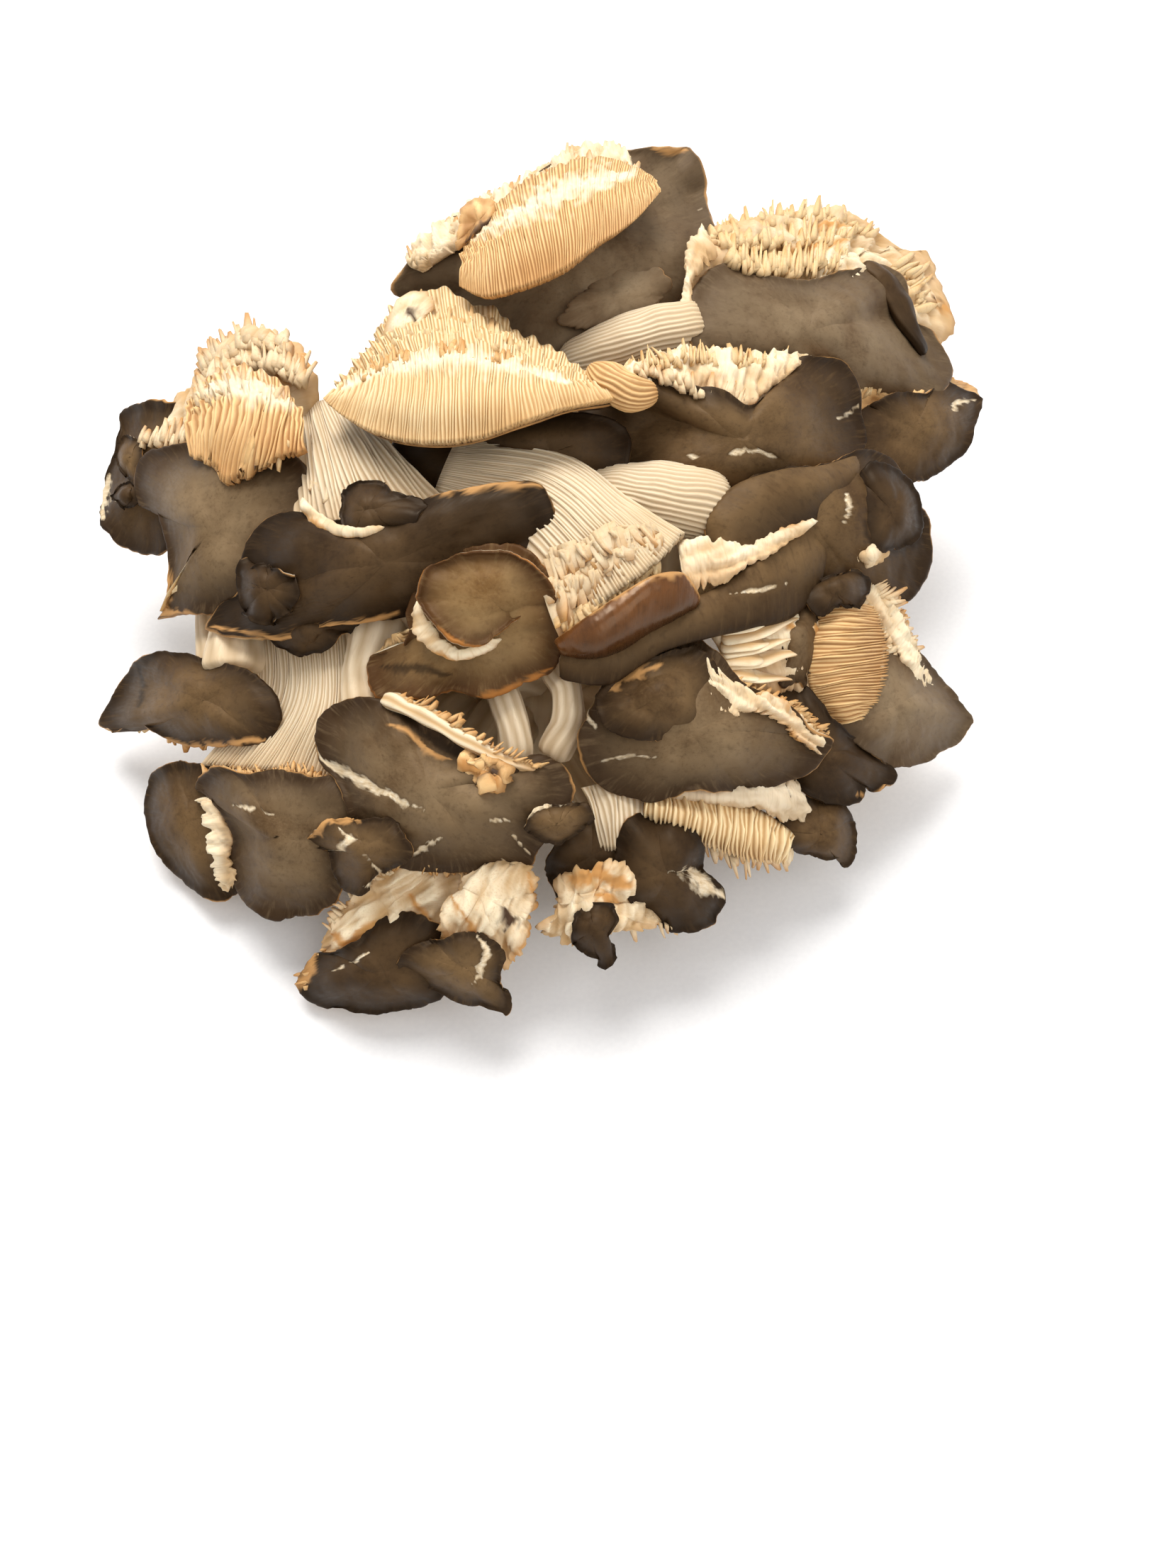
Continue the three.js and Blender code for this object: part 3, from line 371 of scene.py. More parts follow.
def comb(base, tips, count, thick=0.55, deep=1.3, seed=1, least=0.35):
    """A row of torn gill ends: thin blades from a base path towards a path of tips, uneven and tapering.

    Each blade is a box of four cross-sections, curled, leaned and turned a little by chance. least is the
    shortest blade's share of the way to the tips."""
    rng = np.random.default_rng(seed)
    base, tips = seen(base), seen(tips)
    s = (np.arange(count) + rng.uniform(0.15, 0.85, count)) / count
    a, b = open_curve(base, s), open_curve(tips, s + rng.normal(0, 0.008, count))
    long = (b - a) * rng.uniform(least, 1.0, (count, 1))
    a = a + (b - a) * rng.uniform(-0.15, 0.25, (count, 1))
    across = unit(open_curve(base, s + 0.01) - open_curve(base, s - 0.01))
    out = unit(np.cross(across, long))
    out *= np.where(((EYE - a) * out).sum(1, keepdims=True) > 0, 1, -1)
    sections, corners = 4, 4
    t = np.linspace(0, 1, sections)
    taper = (1 - 0.6 * t ** 2)[None, :, None]
    corner = np.array([[1, 1], [-1, 1], [-1, -1], [1, -1]]) * 0.5
    curl = rng.normal(0, 0.7, (count, 1)) * t ** 2
    lean = rng.normal(0, 0.5, (count, 1)) * t ** 2
    spine = a[:, None] + long[:, None] * t[:, None] + out[:, None] * curl[..., None]
    spine = spine + across[:, None] * lean[..., None]
    turn = rng.normal(0, 0.6, (count, 1)) + rng.normal(0, 0.4, (count, 1)) * t
    flat = across[:, None] * np.cos(turn)[..., None] + out[:, None] * np.sin(turn)[..., None]
    edge = out[:, None] * np.cos(turn)[..., None] - across[:, None] * np.sin(turn)[..., None]
    size = rng.uniform(0.6, 1.6, (count, 1, 1))
    section = thick * corner[:, :1] * flat[:, :, None] + deep * corner[:, 1:] * edge[:, :, None]
    grid = spine[:, :, None] + (taper * size)[..., None] * section
    ids = np.arange(count * sections * corners).reshape(count, sections, corners)
    nxt = np.roll(ids, -1, 2)
    quads = np.stack([ids[:, :-1], nxt[:, :-1], nxt[:, 1:], ids[:, 1:]], -1).reshape(-1, 4)
    quads = np.concatenate([quads, ids[:, 0, ::-1], ids[:, -1]])
    tris = np.concatenate([quads[:, [0, 1, 2]], quads[:, [0, 2, 3]]])
    whole = np.broadcast_to(t[None, :, None], ids.shape).reshape(-1)
    brown = np.repeat(rng.uniform(0, 1, count) ** 1.3, sections * corners)
    places = grid.reshape(-1, 3)
    # Each blade takes the darker floor colour towards its base: painted shade.
    data = {"rad": whole, "ridge": 0.4 + 0.6 * whole, "flow": places * [1, 1, 0.4],
            "tan": brown * whole}
    return right_side_out({"verts": places, "tris": tris, "data": data})


def piece(name, parts, nodes):
    """One object from (body, material) pairs: their places in metres, their marks as attributes."""
    verts = np.concatenate([p["verts"] for p, _ in parts]) / 1000
    starts = np.cumsum([0] + [len(p["verts"]) for p, _ in parts[:-1]])
    tris = np.concatenate([p["tris"] + k for (p, _), k in zip(parts, starts)])
    mesh = bpy.data.meshes.new(name)
    mesh.from_pydata(verts.tolist(), [], tris.tolist())
    mesh.polygons.foreach_set("use_smooth", [True] * len(tris))
    paints = list(dict.fromkeys(material for _, material in parts))
    for material in paints:
        mesh.materials.append(material)
    index = np.concatenate([np.full(len(p["tris"]), paints.index(material)) for p, material in parts])
    mesh.polygons.foreach_set("material_index", index.astype(np.int32))
    for key in ("rad", "under", "ridge", "tear", "tan", "dark"):
        values = np.concatenate([p["data"].get(key, np.zeros(len(p["verts"]))) for p, _ in parts])
        mesh.attributes.new(key, "FLOAT", "POINT").data.foreach_set("value", values.astype(np.float32))
    values = np.concatenate([p["data"]["flow"] for p, _ in parts]).astype(np.float32)
    mesh.attributes.new("flow", "FLOAT_VECTOR", "POINT").data.foreach_set("vector", values.ravel())
    mesh.update()
    thing = bpy.data.objects.new(name, mesh)
    bpy.context.collection.objects.link(thing)
    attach(thing, "root")
    if nodes:
        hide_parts(*nodes)
    return thing


def paint(name):
    """A new node material: gives its tree, a way to add nodes, and its shader."""
    material = bpy.data.materials.new(name)
    material.use_nodes = True
    tree = material.node_tree
    tree.nodes.clear()
    shader = tree.nodes.new("ShaderNodeBsdfPrincipled")
    output = tree.nodes.new("ShaderNodeOutputMaterial")
    tree.links.new(shader.outputs[0], output.inputs[0])

    def add(kind, *links, **settings):
        node = tree.nodes.new("ShaderNode" + kind)
        for key, value in settings.items():
            if key[0].islower():
                setattr(node, key, value)
        for key, value in settings.items():
            if key[0].isupper():
                node.inputs[key.replace("_", " ")].default_value = value
        for socket, source in links:
            tree.links.new(source, node.inputs[socket])
        return node.outputs

    return material, tree, add, shader


def mixer(add, amount, low, high):
    """One colour laid over another by an amount; colours are sockets or fixed values."""
    node = add("MixRGB")[0].node
    for socket, value in ((0, amount), (1, low), (2, high)):
        if isinstance(value, bpy.types.NodeSocket):
            node.id_data.links.new(value, node.inputs[socket])
        else:
            node.inputs[socket].default_value = value if socket == 0 else (*value, 1)
    return node.outputs[0]


def band(add, value, low, high, top=1.0):
    """A value stretched so that low becomes 0 and high becomes top, held between them."""
    return add("MapRange", (0, value), From_Min=low, From_Max=high, To_Max=top, clamp=True)[0]


def blend_sum(add, a, b, share):
    """a plus a share of b."""
    node = add("Math", (0, b), (2, a), operation="MULTIPLY_ADD")[0].node
    node.inputs[1].default_value = share
    return node.outputs[0]


def colour(r, g, b):
    """A colour as seen on a screen, in 0 to 255, made linear."""
    return tuple((c / 255 / 12.92) if c <= 10 else ((c / 255 + 0.055) / 1.055) ** 2.4 for c in (r, g, b))


CREAM, WHITE, TAN = colour(236, 216, 180), colour(236, 226, 204), colour(182, 136, 84)


def skin_paint(name, deep, mid, pale, margin=TAN, gloss=0.46, seed=0.0, dusk=0.9, shine=0.16):
    """Cap skin: pale in the middle and deep at the rim, streaked outwards, with a thin tan margin."""
    material, tree, add, shader = paint(name)
    get = lambda key: add("Attribute", attribute_name=key)
    where = add("TexCoord")[3]
    streaks = add("TexNoise", (0, get("flow")[1]), Scale=0.9, Detail=7.0, Roughness=0.66, W=seed,
                  noise_dimensions="4D")[0]
    broad = add("TexNoise", (0, where), Scale=62.0, Detail=4.0, Roughness=0.55, W=seed + 3,
                noise_dimensions="4D")[0]
    small = add("TexNoise", (0, where), Scale=650.0, Detail=5.0, Roughness=0.6)[0]
    rad, under, tear = get("rad")[2], get("under")[2], get("tear")[2]
    base = mixer(add, band(add, broad, 0.36, 0.64), mid, pale)
    outer = blend_sum(add, blend_sum(add, rad, broad, 0.5), streaks, 0.35)
    base = mixer(add, band(add, outer, 0.84, 1.34, dusk), base, deep)
    base = mixer(add, band(add, streaks, 0.5, 0.8, 0.55), base, pale)
    base = mixer(add, band(add, streaks, 0.46, 0.25, 0.5), base, deep)
    base = mixer(add, band(add, small, 0.52, 0.72, 0.3), base, deep)
    base = mixer(add, band(add, blend_sum(add, rad, broad, 0.12), 1.04, 1.066), base, margin)
    base = mixer(add, get("tan")[2], base, margin)
    # Painted shade: near black along the lines that mark creases, gaps, pockets and holes.
    base = mixer(add, band(add, get("dark")[2], 0.0, 1.0, 0.75), base, colour(30, 20, 12))
    flesh = mixer(add, band(add, small, 0.35, 0.65), CREAM, WHITE)
    rip = blend_sum(add, tear, streaks, 0.5)
    soft = mixer(add, band(add, streaks, 0.35, 0.65), colour(206, 180, 142), flesh)
    base = mixer(add, band(add, rip, 0.66, 1.24, 0.92), base, soft)
    base = mixer(add, under, base, flesh)
    tree.links.new(base, shader.inputs["Base Color"])
    rough = add("MapRange", (0, streaks), From_Min=0.3, From_Max=0.7, To_Min=gloss - 0.08,
                To_Max=gloss + 0.16)[0]
    tree.links.new(rough, shader.inputs["Roughness"])
    shader.inputs["Specular IOR Level"].default_value = shine
    shader.inputs["Specular Tint"].default_value = (1, 0.8, 0.6, 1)
    height = blend_sum(add, streaks, small, 0.5)
    bump = add("Bump", (2, height), Strength=0.4, Distance=0.0005)[0]
    tree.links.new(bump, shader.inputs["Normal"])
    return material


def gill_paint(name, crest, floor, rim=TAN, seed=0.0, rough=0.6, strength=0.4):
    """Gills and flesh: cream crests over darker floors of painted shade, browner in patches and to the rim.
    """
    material, tree, add, shader = paint(name)
    get = lambda key: add("Attribute", attribute_name=key)
    where = add("TexCoord")[3]
    broad = add("TexNoise", (0, where), Scale=70.0, Detail=4.0, Roughness=0.6, W=seed,
                noise_dimensions="4D")[0]
    small = add("TexNoise", (0, where), Scale=700.0, Detail=5.0, Roughness=0.6)[0]
    fibre = add("TexNoise", (0, get("flow")[1]), Scale=1.3, Detail=6.0, Roughness=0.66)[0]
    outer = blend_sum(add, get("rad")[2], broad, 1.2)
    top = mixer(add, band(add, outer, 1.15, 1.75, 0.85), crest, rim)
    # The darker floor colour in grooves and hollows is painted shade, and the crest colour on raised fibres
    # is partly painted highlight.
    base = mixer(add, get("ridge")[2], floor, top)
    base = mixer(add, band(add, fibre, 0.5, 0.75, 0.6), base, floor)
    flesh = mixer(add, band(add, small, 0.35, 0.65), CREAM, WHITE)
    base = mixer(add, get("tan")[2], base, rim)
    # Painted shade: dark brown along the lines that mark creases, gaps, pockets and holes.
    base = mixer(add, get("dark")[2], base, colour(70, 48, 30))
    base = mixer(add, band(add, get("tear")[2], 0.0, 1.0, 0.8), base, flesh)
    tree.links.new(base, shader.inputs["Base Color"])
    shader.inputs["Roughness"].default_value = rough
    shader.inputs["Specular IOR Level"].default_value = 0.3
    shader.inputs["Subsurface Weight"].default_value = 0.15
    shader.inputs["Subsurface Radius"].default_value = (0.0012, 0.0008, 0.0005)
    shader.inputs["Subsurface Scale"].default_value = 1.0
    height = blend_sum(add, fibre, small, 0.6)
    bump = add("Bump", (2, height), Strength=strength, Distance=0.0005)[0]
    tree.links.new(bump, shader.inputs["Normal"])
    return material


skin_brown = skin_paint("skin_brown", colour(32, 20, 11), colour(73, 53, 32), colour(110, 86, 57))
skin_mid = skin_paint("skin_mid", colour(42, 26, 13), colour(87, 66, 43), colour(125, 104, 77),
                      seed=2.0)
gill_cream = gill_paint("gill_cream", colour(233, 208, 163), colour(186, 148, 98),
                        colour(206, 160, 100))
gill_tan = gill_paint("gill_tan", colour(228, 190, 134), colour(168, 122, 72), colour(186, 132, 72),
                      seed=3.0)
flesh_paint = gill_paint("torn_flesh", colour(235, 218, 186), colour(190, 154, 106),
                         colour(194, 142, 82), seed=9.0, rough=0.75, strength=0.7)
stem_paint = gill_paint("stem_cream", colour(225, 207, 178), colour(186, 161, 126),
                        colour(208, 182, 144), seed=5.0)

# A cap or a flap is drawn from its hub and rim, a ribbon from rows across it, all of them guide points.
# lift domes a cap, wave and lobes fold it, roll turns its rim in, ragged tears it, and seed makes it its
# own. tears and tans are lines on it, and so are the lines of painted shade in creases, gaps, pockets
# and holes: each a width, then points across and up. grain is the way of its fibres.
front = {
    "hub": [-26, -47, 3], "lift": 6, "seed": 11, "lobes": 5, "wave": 1.4,
    "rim": [-50.7, -35, -3, -49, -30, -4, -44.5, -27, -5, -37, -27, -5, -30, -30, -4, -22, -34.5, -3,
            -14, -39.5, -3, -6, -42.5, -2, 1, -40.5, -3, 6.3, -43.5, -4, 7.3, -48, -4, 3, -54, -4,
            0, -59, -5, -3, -64.8, -6, -14, -65.5, -5, -25, -65, -5, -34, -63.5, -5, -41, -57, -3,
            -44.5, -49, -3, -49.5, -41, -2],
    "tears": [[2.4, -50.5, -36, -48.5, -40.5, -46, -42, -40, -45, -35, -47.5, -30, -49.5, -26, -51.3],
              [1.9, -29.5, -61.5, -26, -59, -22, -57],
              [0.9, -13, -53.3, -7, -53.5],
              [1.0, -8, -55.5, -2, -61.5],
              [1.0, -9.5, -61, -7, -64.5]],
    "darks": [[2.4, -34, -30.5, -26, -35, -19, -39, -12, -43.5]],
    "tans": [[1.8, -34, -33, -28, -36, -24, -39.5, -20, -41]],
}
front_lobe = {
    "hub": [3, -54.5, 2], "lift": 2, "seed": 13, "wave": 0.5,
    "rim": [-4.5, -54, 0, 0, -51.5, 0, 6, -51.3, 0, 11.5, -52, -1, 9, -55, -1, 6, -57.5, -1,
            3, -58.5, -1, -1, -57, 0],
    "tears": [[1.4, -4.5, -53.5, 0, -51.8, 5, -51.6]],
}
front_flap = {
    "hub": [-13.5, -42.8, 3], "lift": 1, "seed": 14, "lobes": 9, "wave": 0.5, "ragged": 1.8,
    "grain": 1.9,
    "rim": [-19, -39.5, 1, -14, -38.6, 2, -8, -40.5, 2, -4.5, -43.5, 1, -7, -46.5, 1,
            -9.5, -49.5, 0.5, -13.5, -48, 1, -16.5, -44.5, 1],
    "tans": [[3.0, -17, -41, -12, -44, -9, -48]], "darks": [[1.4, -15, -46, -11, -43, -7, -42]],
}
front_rib = rod([-36, -26.5, -3, -28, -29.5, 0.5, -18, -35.2, 1.5, -8, -40.5, 0, -1, -42.8, -2],
                [2.2, 1.9, 1.8, 1.6, 1.0], ribs=5, deep=0.1)
front_teeth = comb([-34, -27.4, -1, -27, -29.4, 1, -18, -34.6, 2, -8, -40, 0.5, -1, -42.4, -1],
                   [-32, -24.3, -2, -23.5, -26.6, 0, -14.5, -31.8, 1, -5, -38, 0, 0.5, -41, -2], 34,
                   seed=4)
front_edge = comb([-33, -62.5, -4, -24, -64.3, -4, -14, -64.8, -4, -4, -64.5, -5],
                  [-34, -65.2, -6, -24, -66.8, -6, -14, -67.3, -6, -4, -66.5, -7], 40, thick=0.4,
                  seed=5)
front_stem = rod([-36, -5, -17, -37, -14, -14, -40, -24, -11, -40, -33, -7], [6.5, 6.4, 5, 4.8])
piece("front_cap", [(skin(front, 180, 34), skin_mid), (skin(front_lobe, 60, 12), skin_brown)],
      ["cap_front"])
piece("front_gills", [
    (gill_fan(front), gill_cream),
    (front_rib, flesh_paint),
    (front_stem, stem_paint),
    (front_teeth, gill_tan),
    (front_edge, gill_tan),
    (torn_flap(front_flap, columns=68, rings=10), gill_tan),
], ["gills_front"])

# Small front cap
# A small brown cap that grows beside the front cap and lies over its left edge, its skin split in two
# places so that the white flesh shows.
front_small = {
    "hub": [-40, -60, 6], "lift": 3, "seed": 12, "wave": 1.0,
    "rim": [-53, -57.5, 1, -46, -54, 2, -40, -54.3, 3, -34, -53.7, 3, -29, -61, 2, -33, -64, 1,
            -37, -65.5, 1, -41, -70.5, -1, -46, -67, -1, -47.5, -60.5, 0],
    "tears": [[1.6, -45.5, -56.5, -42, -58.5, -47, -60], [1.4, -40, -61, -37, -65, -40, -68]],
    "tans": [[2.0, -53, -57.5, -46, -54.3, -40, -55]],
}
piece("front_small_cap", [(skin(front_small, 112, 18), skin_brown)], ["cap_front_small"])

# Lowest middle cap
# A small brown cap at the very bottom, grown low on the base. Above it hangs a web of torn cream flesh,
# drawn out into fibres.
lowest_mid = {
    "hub": [-17, -87, 2], "lift": 4, "seed": 13, "wave": 1.0,
    "rim": [-33, -85.5, -3, -25, -81.5, -1, -19, -79.5, 0, -13, -80.5, 0, -9.5, -83, -1,
            -9.3, -89, -1, -7.8, -97.8, -3, -12, -95.5, -3, -18, -94.3, -3, -24, -91.5, -3,
            -29, -89.5, -4],
    "tears": [[1.6, -15, -80.5, -12.8, -83, -14, -87, -15.3, -89.7]],
}
lowest_mid_web = {
    "hub": [-14, -71, 0], "lift": 2, "ragged": 2.2, "seed": 14, "wave": 1.0,
    "rim": [-24, -77, -3, -20, -70, -4, -15, -63, -5, -8, -62, -5, -2, -63, -4, 1, -69, -3,
            -1, -76, -3, -3, -82, -3, -7, -88.5, -4, -12, -89, -5, -18, -87, -6, -23, -83, -5],
    "darks": [[3.0, -9.5, -73.5, -8, -76, -8.5, -78]], "grain": 1.1,
    "tans": [[1.8, -3, -66, -1.5, -72, -3, -80, -7, -87], [1.6, -19, -72, -16, -76, -13, -84]],
}
piece("lowest_mid_cap", [(skin(lowest_mid, 118, 22), skin_brown)], ["cap_lowest_mid"])
piece("lowest_mid_gills", [
    (gill_fan(lowest_mid), gill_cream),
    (torn_flap(lowest_mid_web), flesh_paint),
], ["gills_lowest_mid"])

# Lowest cap
# A dark cap left of the middle at the bottom, with a curled tan edge. The stringy cream flesh above it is
# torn open, with short teeth where its gills broke off.
skin_dark = skin_paint("skin_dark", colour(27, 17, 9), colour(51, 36, 22), colour(81, 61, 39),
                       seed=4.0)
lowest = {
    "hub": [-36, -88, 0], "lift": 5, "seed": 15, "wave": 1.2,
    "rim": [-53.5, -93, -6, -48, -95.6, -6, -40, -96.8, -6, -30, -96, -6, -22, -92.7, -6,
            -17, -85, -8, -23, -77.5, -7, -31, -75, -5, -37, -77.5, -4, -42, -82, -4, -50, -84, -5,
            -55, -90.5, -6],
    "tears": [[0.9, -46, -88, -38, -84]],
    "tans": [[2.6, -49, -82, -50.5, -84.5, -51.5, -89, -55, -91, -53.5, -93.7]],
}
lowest_flesh = {
    "hub": [-35, -74, -5], "lift": 3, "ragged": 2.4, "seed": 16, "wave": 1.4,
    "rim": [-50, -84, -8, -48.5, -77.5, -7, -44, -70, -7, -39, -62, -7, -30, -58, -8, -20, -60, -9,
            -14, -69, -9, -17, -80, -10, -28, -86, -11, -41, -88, -10],
    "tans": [[2.6, -47, -79, -42, -81, -37, -76.5],
             [2.2, -30, -71, -25, -76],
             [2.4, -46, -74, -42, -69.5]],
    "grain": 0.7,
}
piece("lowest_cap", [(skin(lowest, 140, 24), skin_dark)], ["cap_lowest"])
lowest_teeth = comb([-48, -79, -6, -43, -73, -5, -38, -68, -5, -33, -66, -6],
                    [-50, -77, -7, -46, -70.5, -6, -41, -65.5, -6, -35, -63, -7], 22, seed=7)
lowest_curl = comb([-49, -83, -4, -51, -88, -4, -52.5, -92, -4],
                   [-52, -82.5, -6, -54.5, -88.5, -6, -56, -92.5, -7], 12, thick=0.8, seed=8)
piece("lowest_gills", [
    (gill_fan(lowest), gill_cream),
    (torn_flap(lowest_flesh), flesh_paint),
    (lowest_teeth, flesh_paint),
    (lowest_curl, gill_tan),
], ["gills_lowest"])

# Ruffled lobes at the bottom
# Dark lobes over crumpled cream flesh, right of the middle, on a short ribbed stem that comes down to
# them. A dark cap lies behind them.


def ribbon(form, a, t):
    """A surface through rows of guide points: each row is a smooth curve in a, and t goes across them."""
    guides = form["rows"]
    rows = np.stack([open_curve(seen(row), a) for row in guides])
    rows = np.concatenate([2 * rows[:1] - rows[1:2], rows, 2 * rows[-1:] - rows[-2:-1]])
    place = np.broadcast_to(t, a.shape) * (len(guides) - 1)
    k = np.minimum(place.astype(int), len(guides) - 2)
    i, j = np.indices(a.shape)
    f = (place - k)[..., None]
    p0, p1, p2, p3 = (rows[k + n, i, j] for n in range(4))
    soft = p1 + 0.5 * f * (p2 - p0 + f * (2 * p0 - 5 * p1 + 4 * p2 - p3 + f * (3 * (p1 - p2) + p3 - p0)))
    out = unit(EYE - soft[a.shape[0] // 2, a.shape[1] // 2])
    return soft + (0.6 * swell(soft, 14, form["seed"]))[..., None] * out, out


def gill_ribbon(form, count=30, rings=20, deep=1.1, sink=0.25, slope=0.0, teeth=0.6):
    """A run of gills across a ribbon: crests and floors along it, with a toothed lower edge."""
    flesh = 1.3
    places, crest, number = gill_steps(count)
    places = places / places[-1]
    t = np.linspace(0, 1, rings + 1)[:, None]
    a = places + slope * t * (1 - places) * places + 0.25 / count * np.sin(6 * t + 1.3 * number)
    t = np.broadcast_to(t, a.shape)
    own = np.random.default_rng(form["seed"]).uniform(0, 1, count)[number]
    grid, out = ribbon(form, a, t * (1 - 0.012 * teeth * own * (1 + crest)))
    n = normals(grid, False, out)
    lift = gill_height(crest, number, t, deep, 3) * ease(t, -0.02, 0.12)
    broken = form.get("broken", 0.0) * ease(0.62 - t, 0, 0.3) * swell(grid, 2.4, 21)
    top = grid + n * (sink + flesh + lift + broken)[..., None]
    low = grid + n * sink
    marks = marked(form, grid, a, t, False, ridge=(np.broadcast_to(crest, t.shape), 0.5))
    return shell(top, low, False, marks)


low_right = {
    "hub": [28, -66, -1], "lift": 5, "wave": 1.8, "seed": 17,
    "rim": [17, -64, -6, 19, -55, -7, 24, -52, -8, 30, -53, -7, 35, -58, -6, 35.5, -66, -5,
            40.8, -70.8, -6, 38.3, -77.3, -6, 31, -78.8, -6, 25, -76, -6, 19, -71, -6],
    "tears": [[3.0, 28, -65.5, 31, -65, 36, -69, 40, -70.8]],
}
low_right_flesh = {
    "hub": [11, -73, -1], "lift": 3, "ragged": 2.4, "seed": 18, "wave": 1.4,
    "rim": [3, -66, -4, 9, -63, -3, 18, -62, -4, 26, -70, -5, 27, -78, -6, 18, -80, -4, 9, -83.8, -4,
            2, -81.5, -5, -2.5, -79, -5, 2, -74, -5, 2, -70, -4],
    "tans": [[5.0, 7, -67, 12, -66, 19, -68], [3.0, 12, -71, 17, -72]],
}
low_right_dark = {
    "hub": [12, -78, 2.5], "lift": 2, "seed": 19, "wave": 0.8,
    "rim": [6.2, -79.3, 0, 7.5, -76, 0, 10, -74, 1, 14, -72, 0, 16.3, -77, 0, 14.6, -80.5, 0,
            15.2, -87, -3, 11, -84, -2, 8, -82, -1],
}
low_stem = {
    "rows": [[9, -47, -10, 14, -46, -9, 20, -46, -9, 26, -47.5, -10],
             [12, -53, -8, 16, -53, -6, 20, -53.5, -6, 25, -53, -8],
             [14, -60.5, -9, 17, -60, -7, 19, -59, -7, 21, -57, -9]],
    "seed": 5,
}
ruffle = comb([16, -75, -4, 20, -76, -3, 25, -76, -4, 30, -78, -5],
              [15, -79, -5, 19.5, -80.5, -5, 25, -79.5, -5, 31, -81, -6], 16, thick=0.9, seed=9)
piece("low_right_cap", [
    (skin(low_right, 126, 22), skin_dark),
    (skin(low_right_dark, 74, 12), skin_dark),
], ["cap_low_right"])
piece("low_right_gills", [
    (gill_fan(low_right), gill_cream),
    (torn_flap(low_right_flesh), flesh_paint),
    (ruffle, flesh_paint),
    (gill_ribbon(low_stem, count=14, rings=10, deep=0.5), stem_paint),
], ["gills_low_right"])
low_back = {
    "hub": [11, -62, -9], "lift": 3, "seed": 19, "wave": 1.4,
    "rim": [1, -62, -13, 7, -56, -13, 12, -50.5, -13, 18, -48, -13, 25, -50, -13, 25, -60, -14,
            20, -70, -14, 15, -80, -12, 8, -80, -11, 4, -72, -13],
    "tans": [[2.0, 12, -52, 18, -50]],
}
piece("low_back_cap", [(skin(low_back, 96, 16), skin_dark)], ["cap_low_back"])

# Lower right cap
# A wide brown cap with a smaller round lobe grown over its left part. A band of white flesh with tan teeth
# crosses it, where its upper right margin is torn.


def leaf_ribbon(form, columns=90, rings=20, flesh=2.2, sink=0.0, ragged=0.0, side=1, rough=0.03):
    """A plain or torn sheet through rows of guide points, round and thin at its edges.

    ragged is the share of its width that is torn away at most, on both sides and at its far end.
    side is 1 for the side that faces out and -1 for the side that faces in."""
    a, t = np.meshgrid(np.linspace(0, 1, columns), np.linspace(0, 1, rings + 1))
    worn = ragged * (jag(a, columns // 3, 7, 1.6) * 0.7 + 0.3 * jag(a, columns - 7, 8))
    frayed = ragged * jag(a, columns // 2, 9, 2)
    grid, out = ribbon(form, a * (1 - 0.4 * ragged * jag(t / 2, 14, 5) * ease(a, 0.5, 1)),
                       t * (1 - worn * ease(t, 0.4, 1)) + 0.8 * frayed * ease(1 - t, 0.4, 1))
    n = normals(grid, False, out)
    edge = np.sqrt(np.clip(1 - np.maximum(np.abs(2 * t - 1) ** 5, np.abs(2 * a - 1) ** 9) ** 2, 0.03, 1))
    fibre = strand(grid, form.get("grain", 1.4), form["seed"])
    # Raised fibres take the light crest colour and the grooves between them the darker floor colour:
    # painted highlight and painted shade.
    ridge = np.clip(0.68 + 0.3 * fibre + 0.2 * swell(grid, 6, 4), 0, 1)
    marks = marked(form, grid, a, t, False, ridge=(ridge, 0.5), under=(0.0, 0.5 + 0.5 * side))
    cut = ease(marks["tear"][0], 0.2, 0.8)
    fine = rough * (swell(grid, 3.4, 6) + 0.5 * swell(grid, 1.1, 7) + 1.2 * fibre)
    top = grid + n * (side * (sink + flesh * edge + fine - 0.4 * cut))[..., None]
    low = grid + n * (side * (sink - 0.25 * flesh * edge))[..., None]
    return shell(top, low, False, marks)


front_right = {
    "hub": [33, -34, 3], "lift": 5, "wave": 1.3, "lobes": 6, "seed": 20,
    "rim": [16, -22, -3, 20, -18, -3, 26, -14, -4, 34, -13, -4, 40, -17, -3, 44, -22.5, 0,
            52, -26, -1, 60, -32, -1, 65.5, -35.5, -2, 63, -40, -3, 60.5, -42.5, -4, 48, -46.7, -3,
            36, -47.7, -3, 24, -49.3, -4, 16, -47.8, -5, 9, -42, -6, 8, -36, -6, 10, -30, -5,
            12.5, -25, -4],
    "tears": [[1.1, 11, -27, 11, -31, 13.5, -35], [0.8, 12, -41, 20, -38.5, 27, -39.5]],
}
front_right_lobe = {
    "hub": [26, -26, 4.5], "lift": 4, "wave": 0.8, "seed": 21,
    "rim": [13, -25, -3, 16, -22, -1, 20, -19, -1, 25, -17, 0, 30, -15.3, 0, 34, -15, 0,
            37.2, -16.5, 0, 39.2, -20, 0, 39.4, -26, 0, 37.5, -31, 1, 33, -36.5, 1, 26, -35.5, 2,
            18, -34.5, 1, 13, -31, -1],
    "tans": [[3.5, 15, -25, 20, -22, 26, -20]],
}
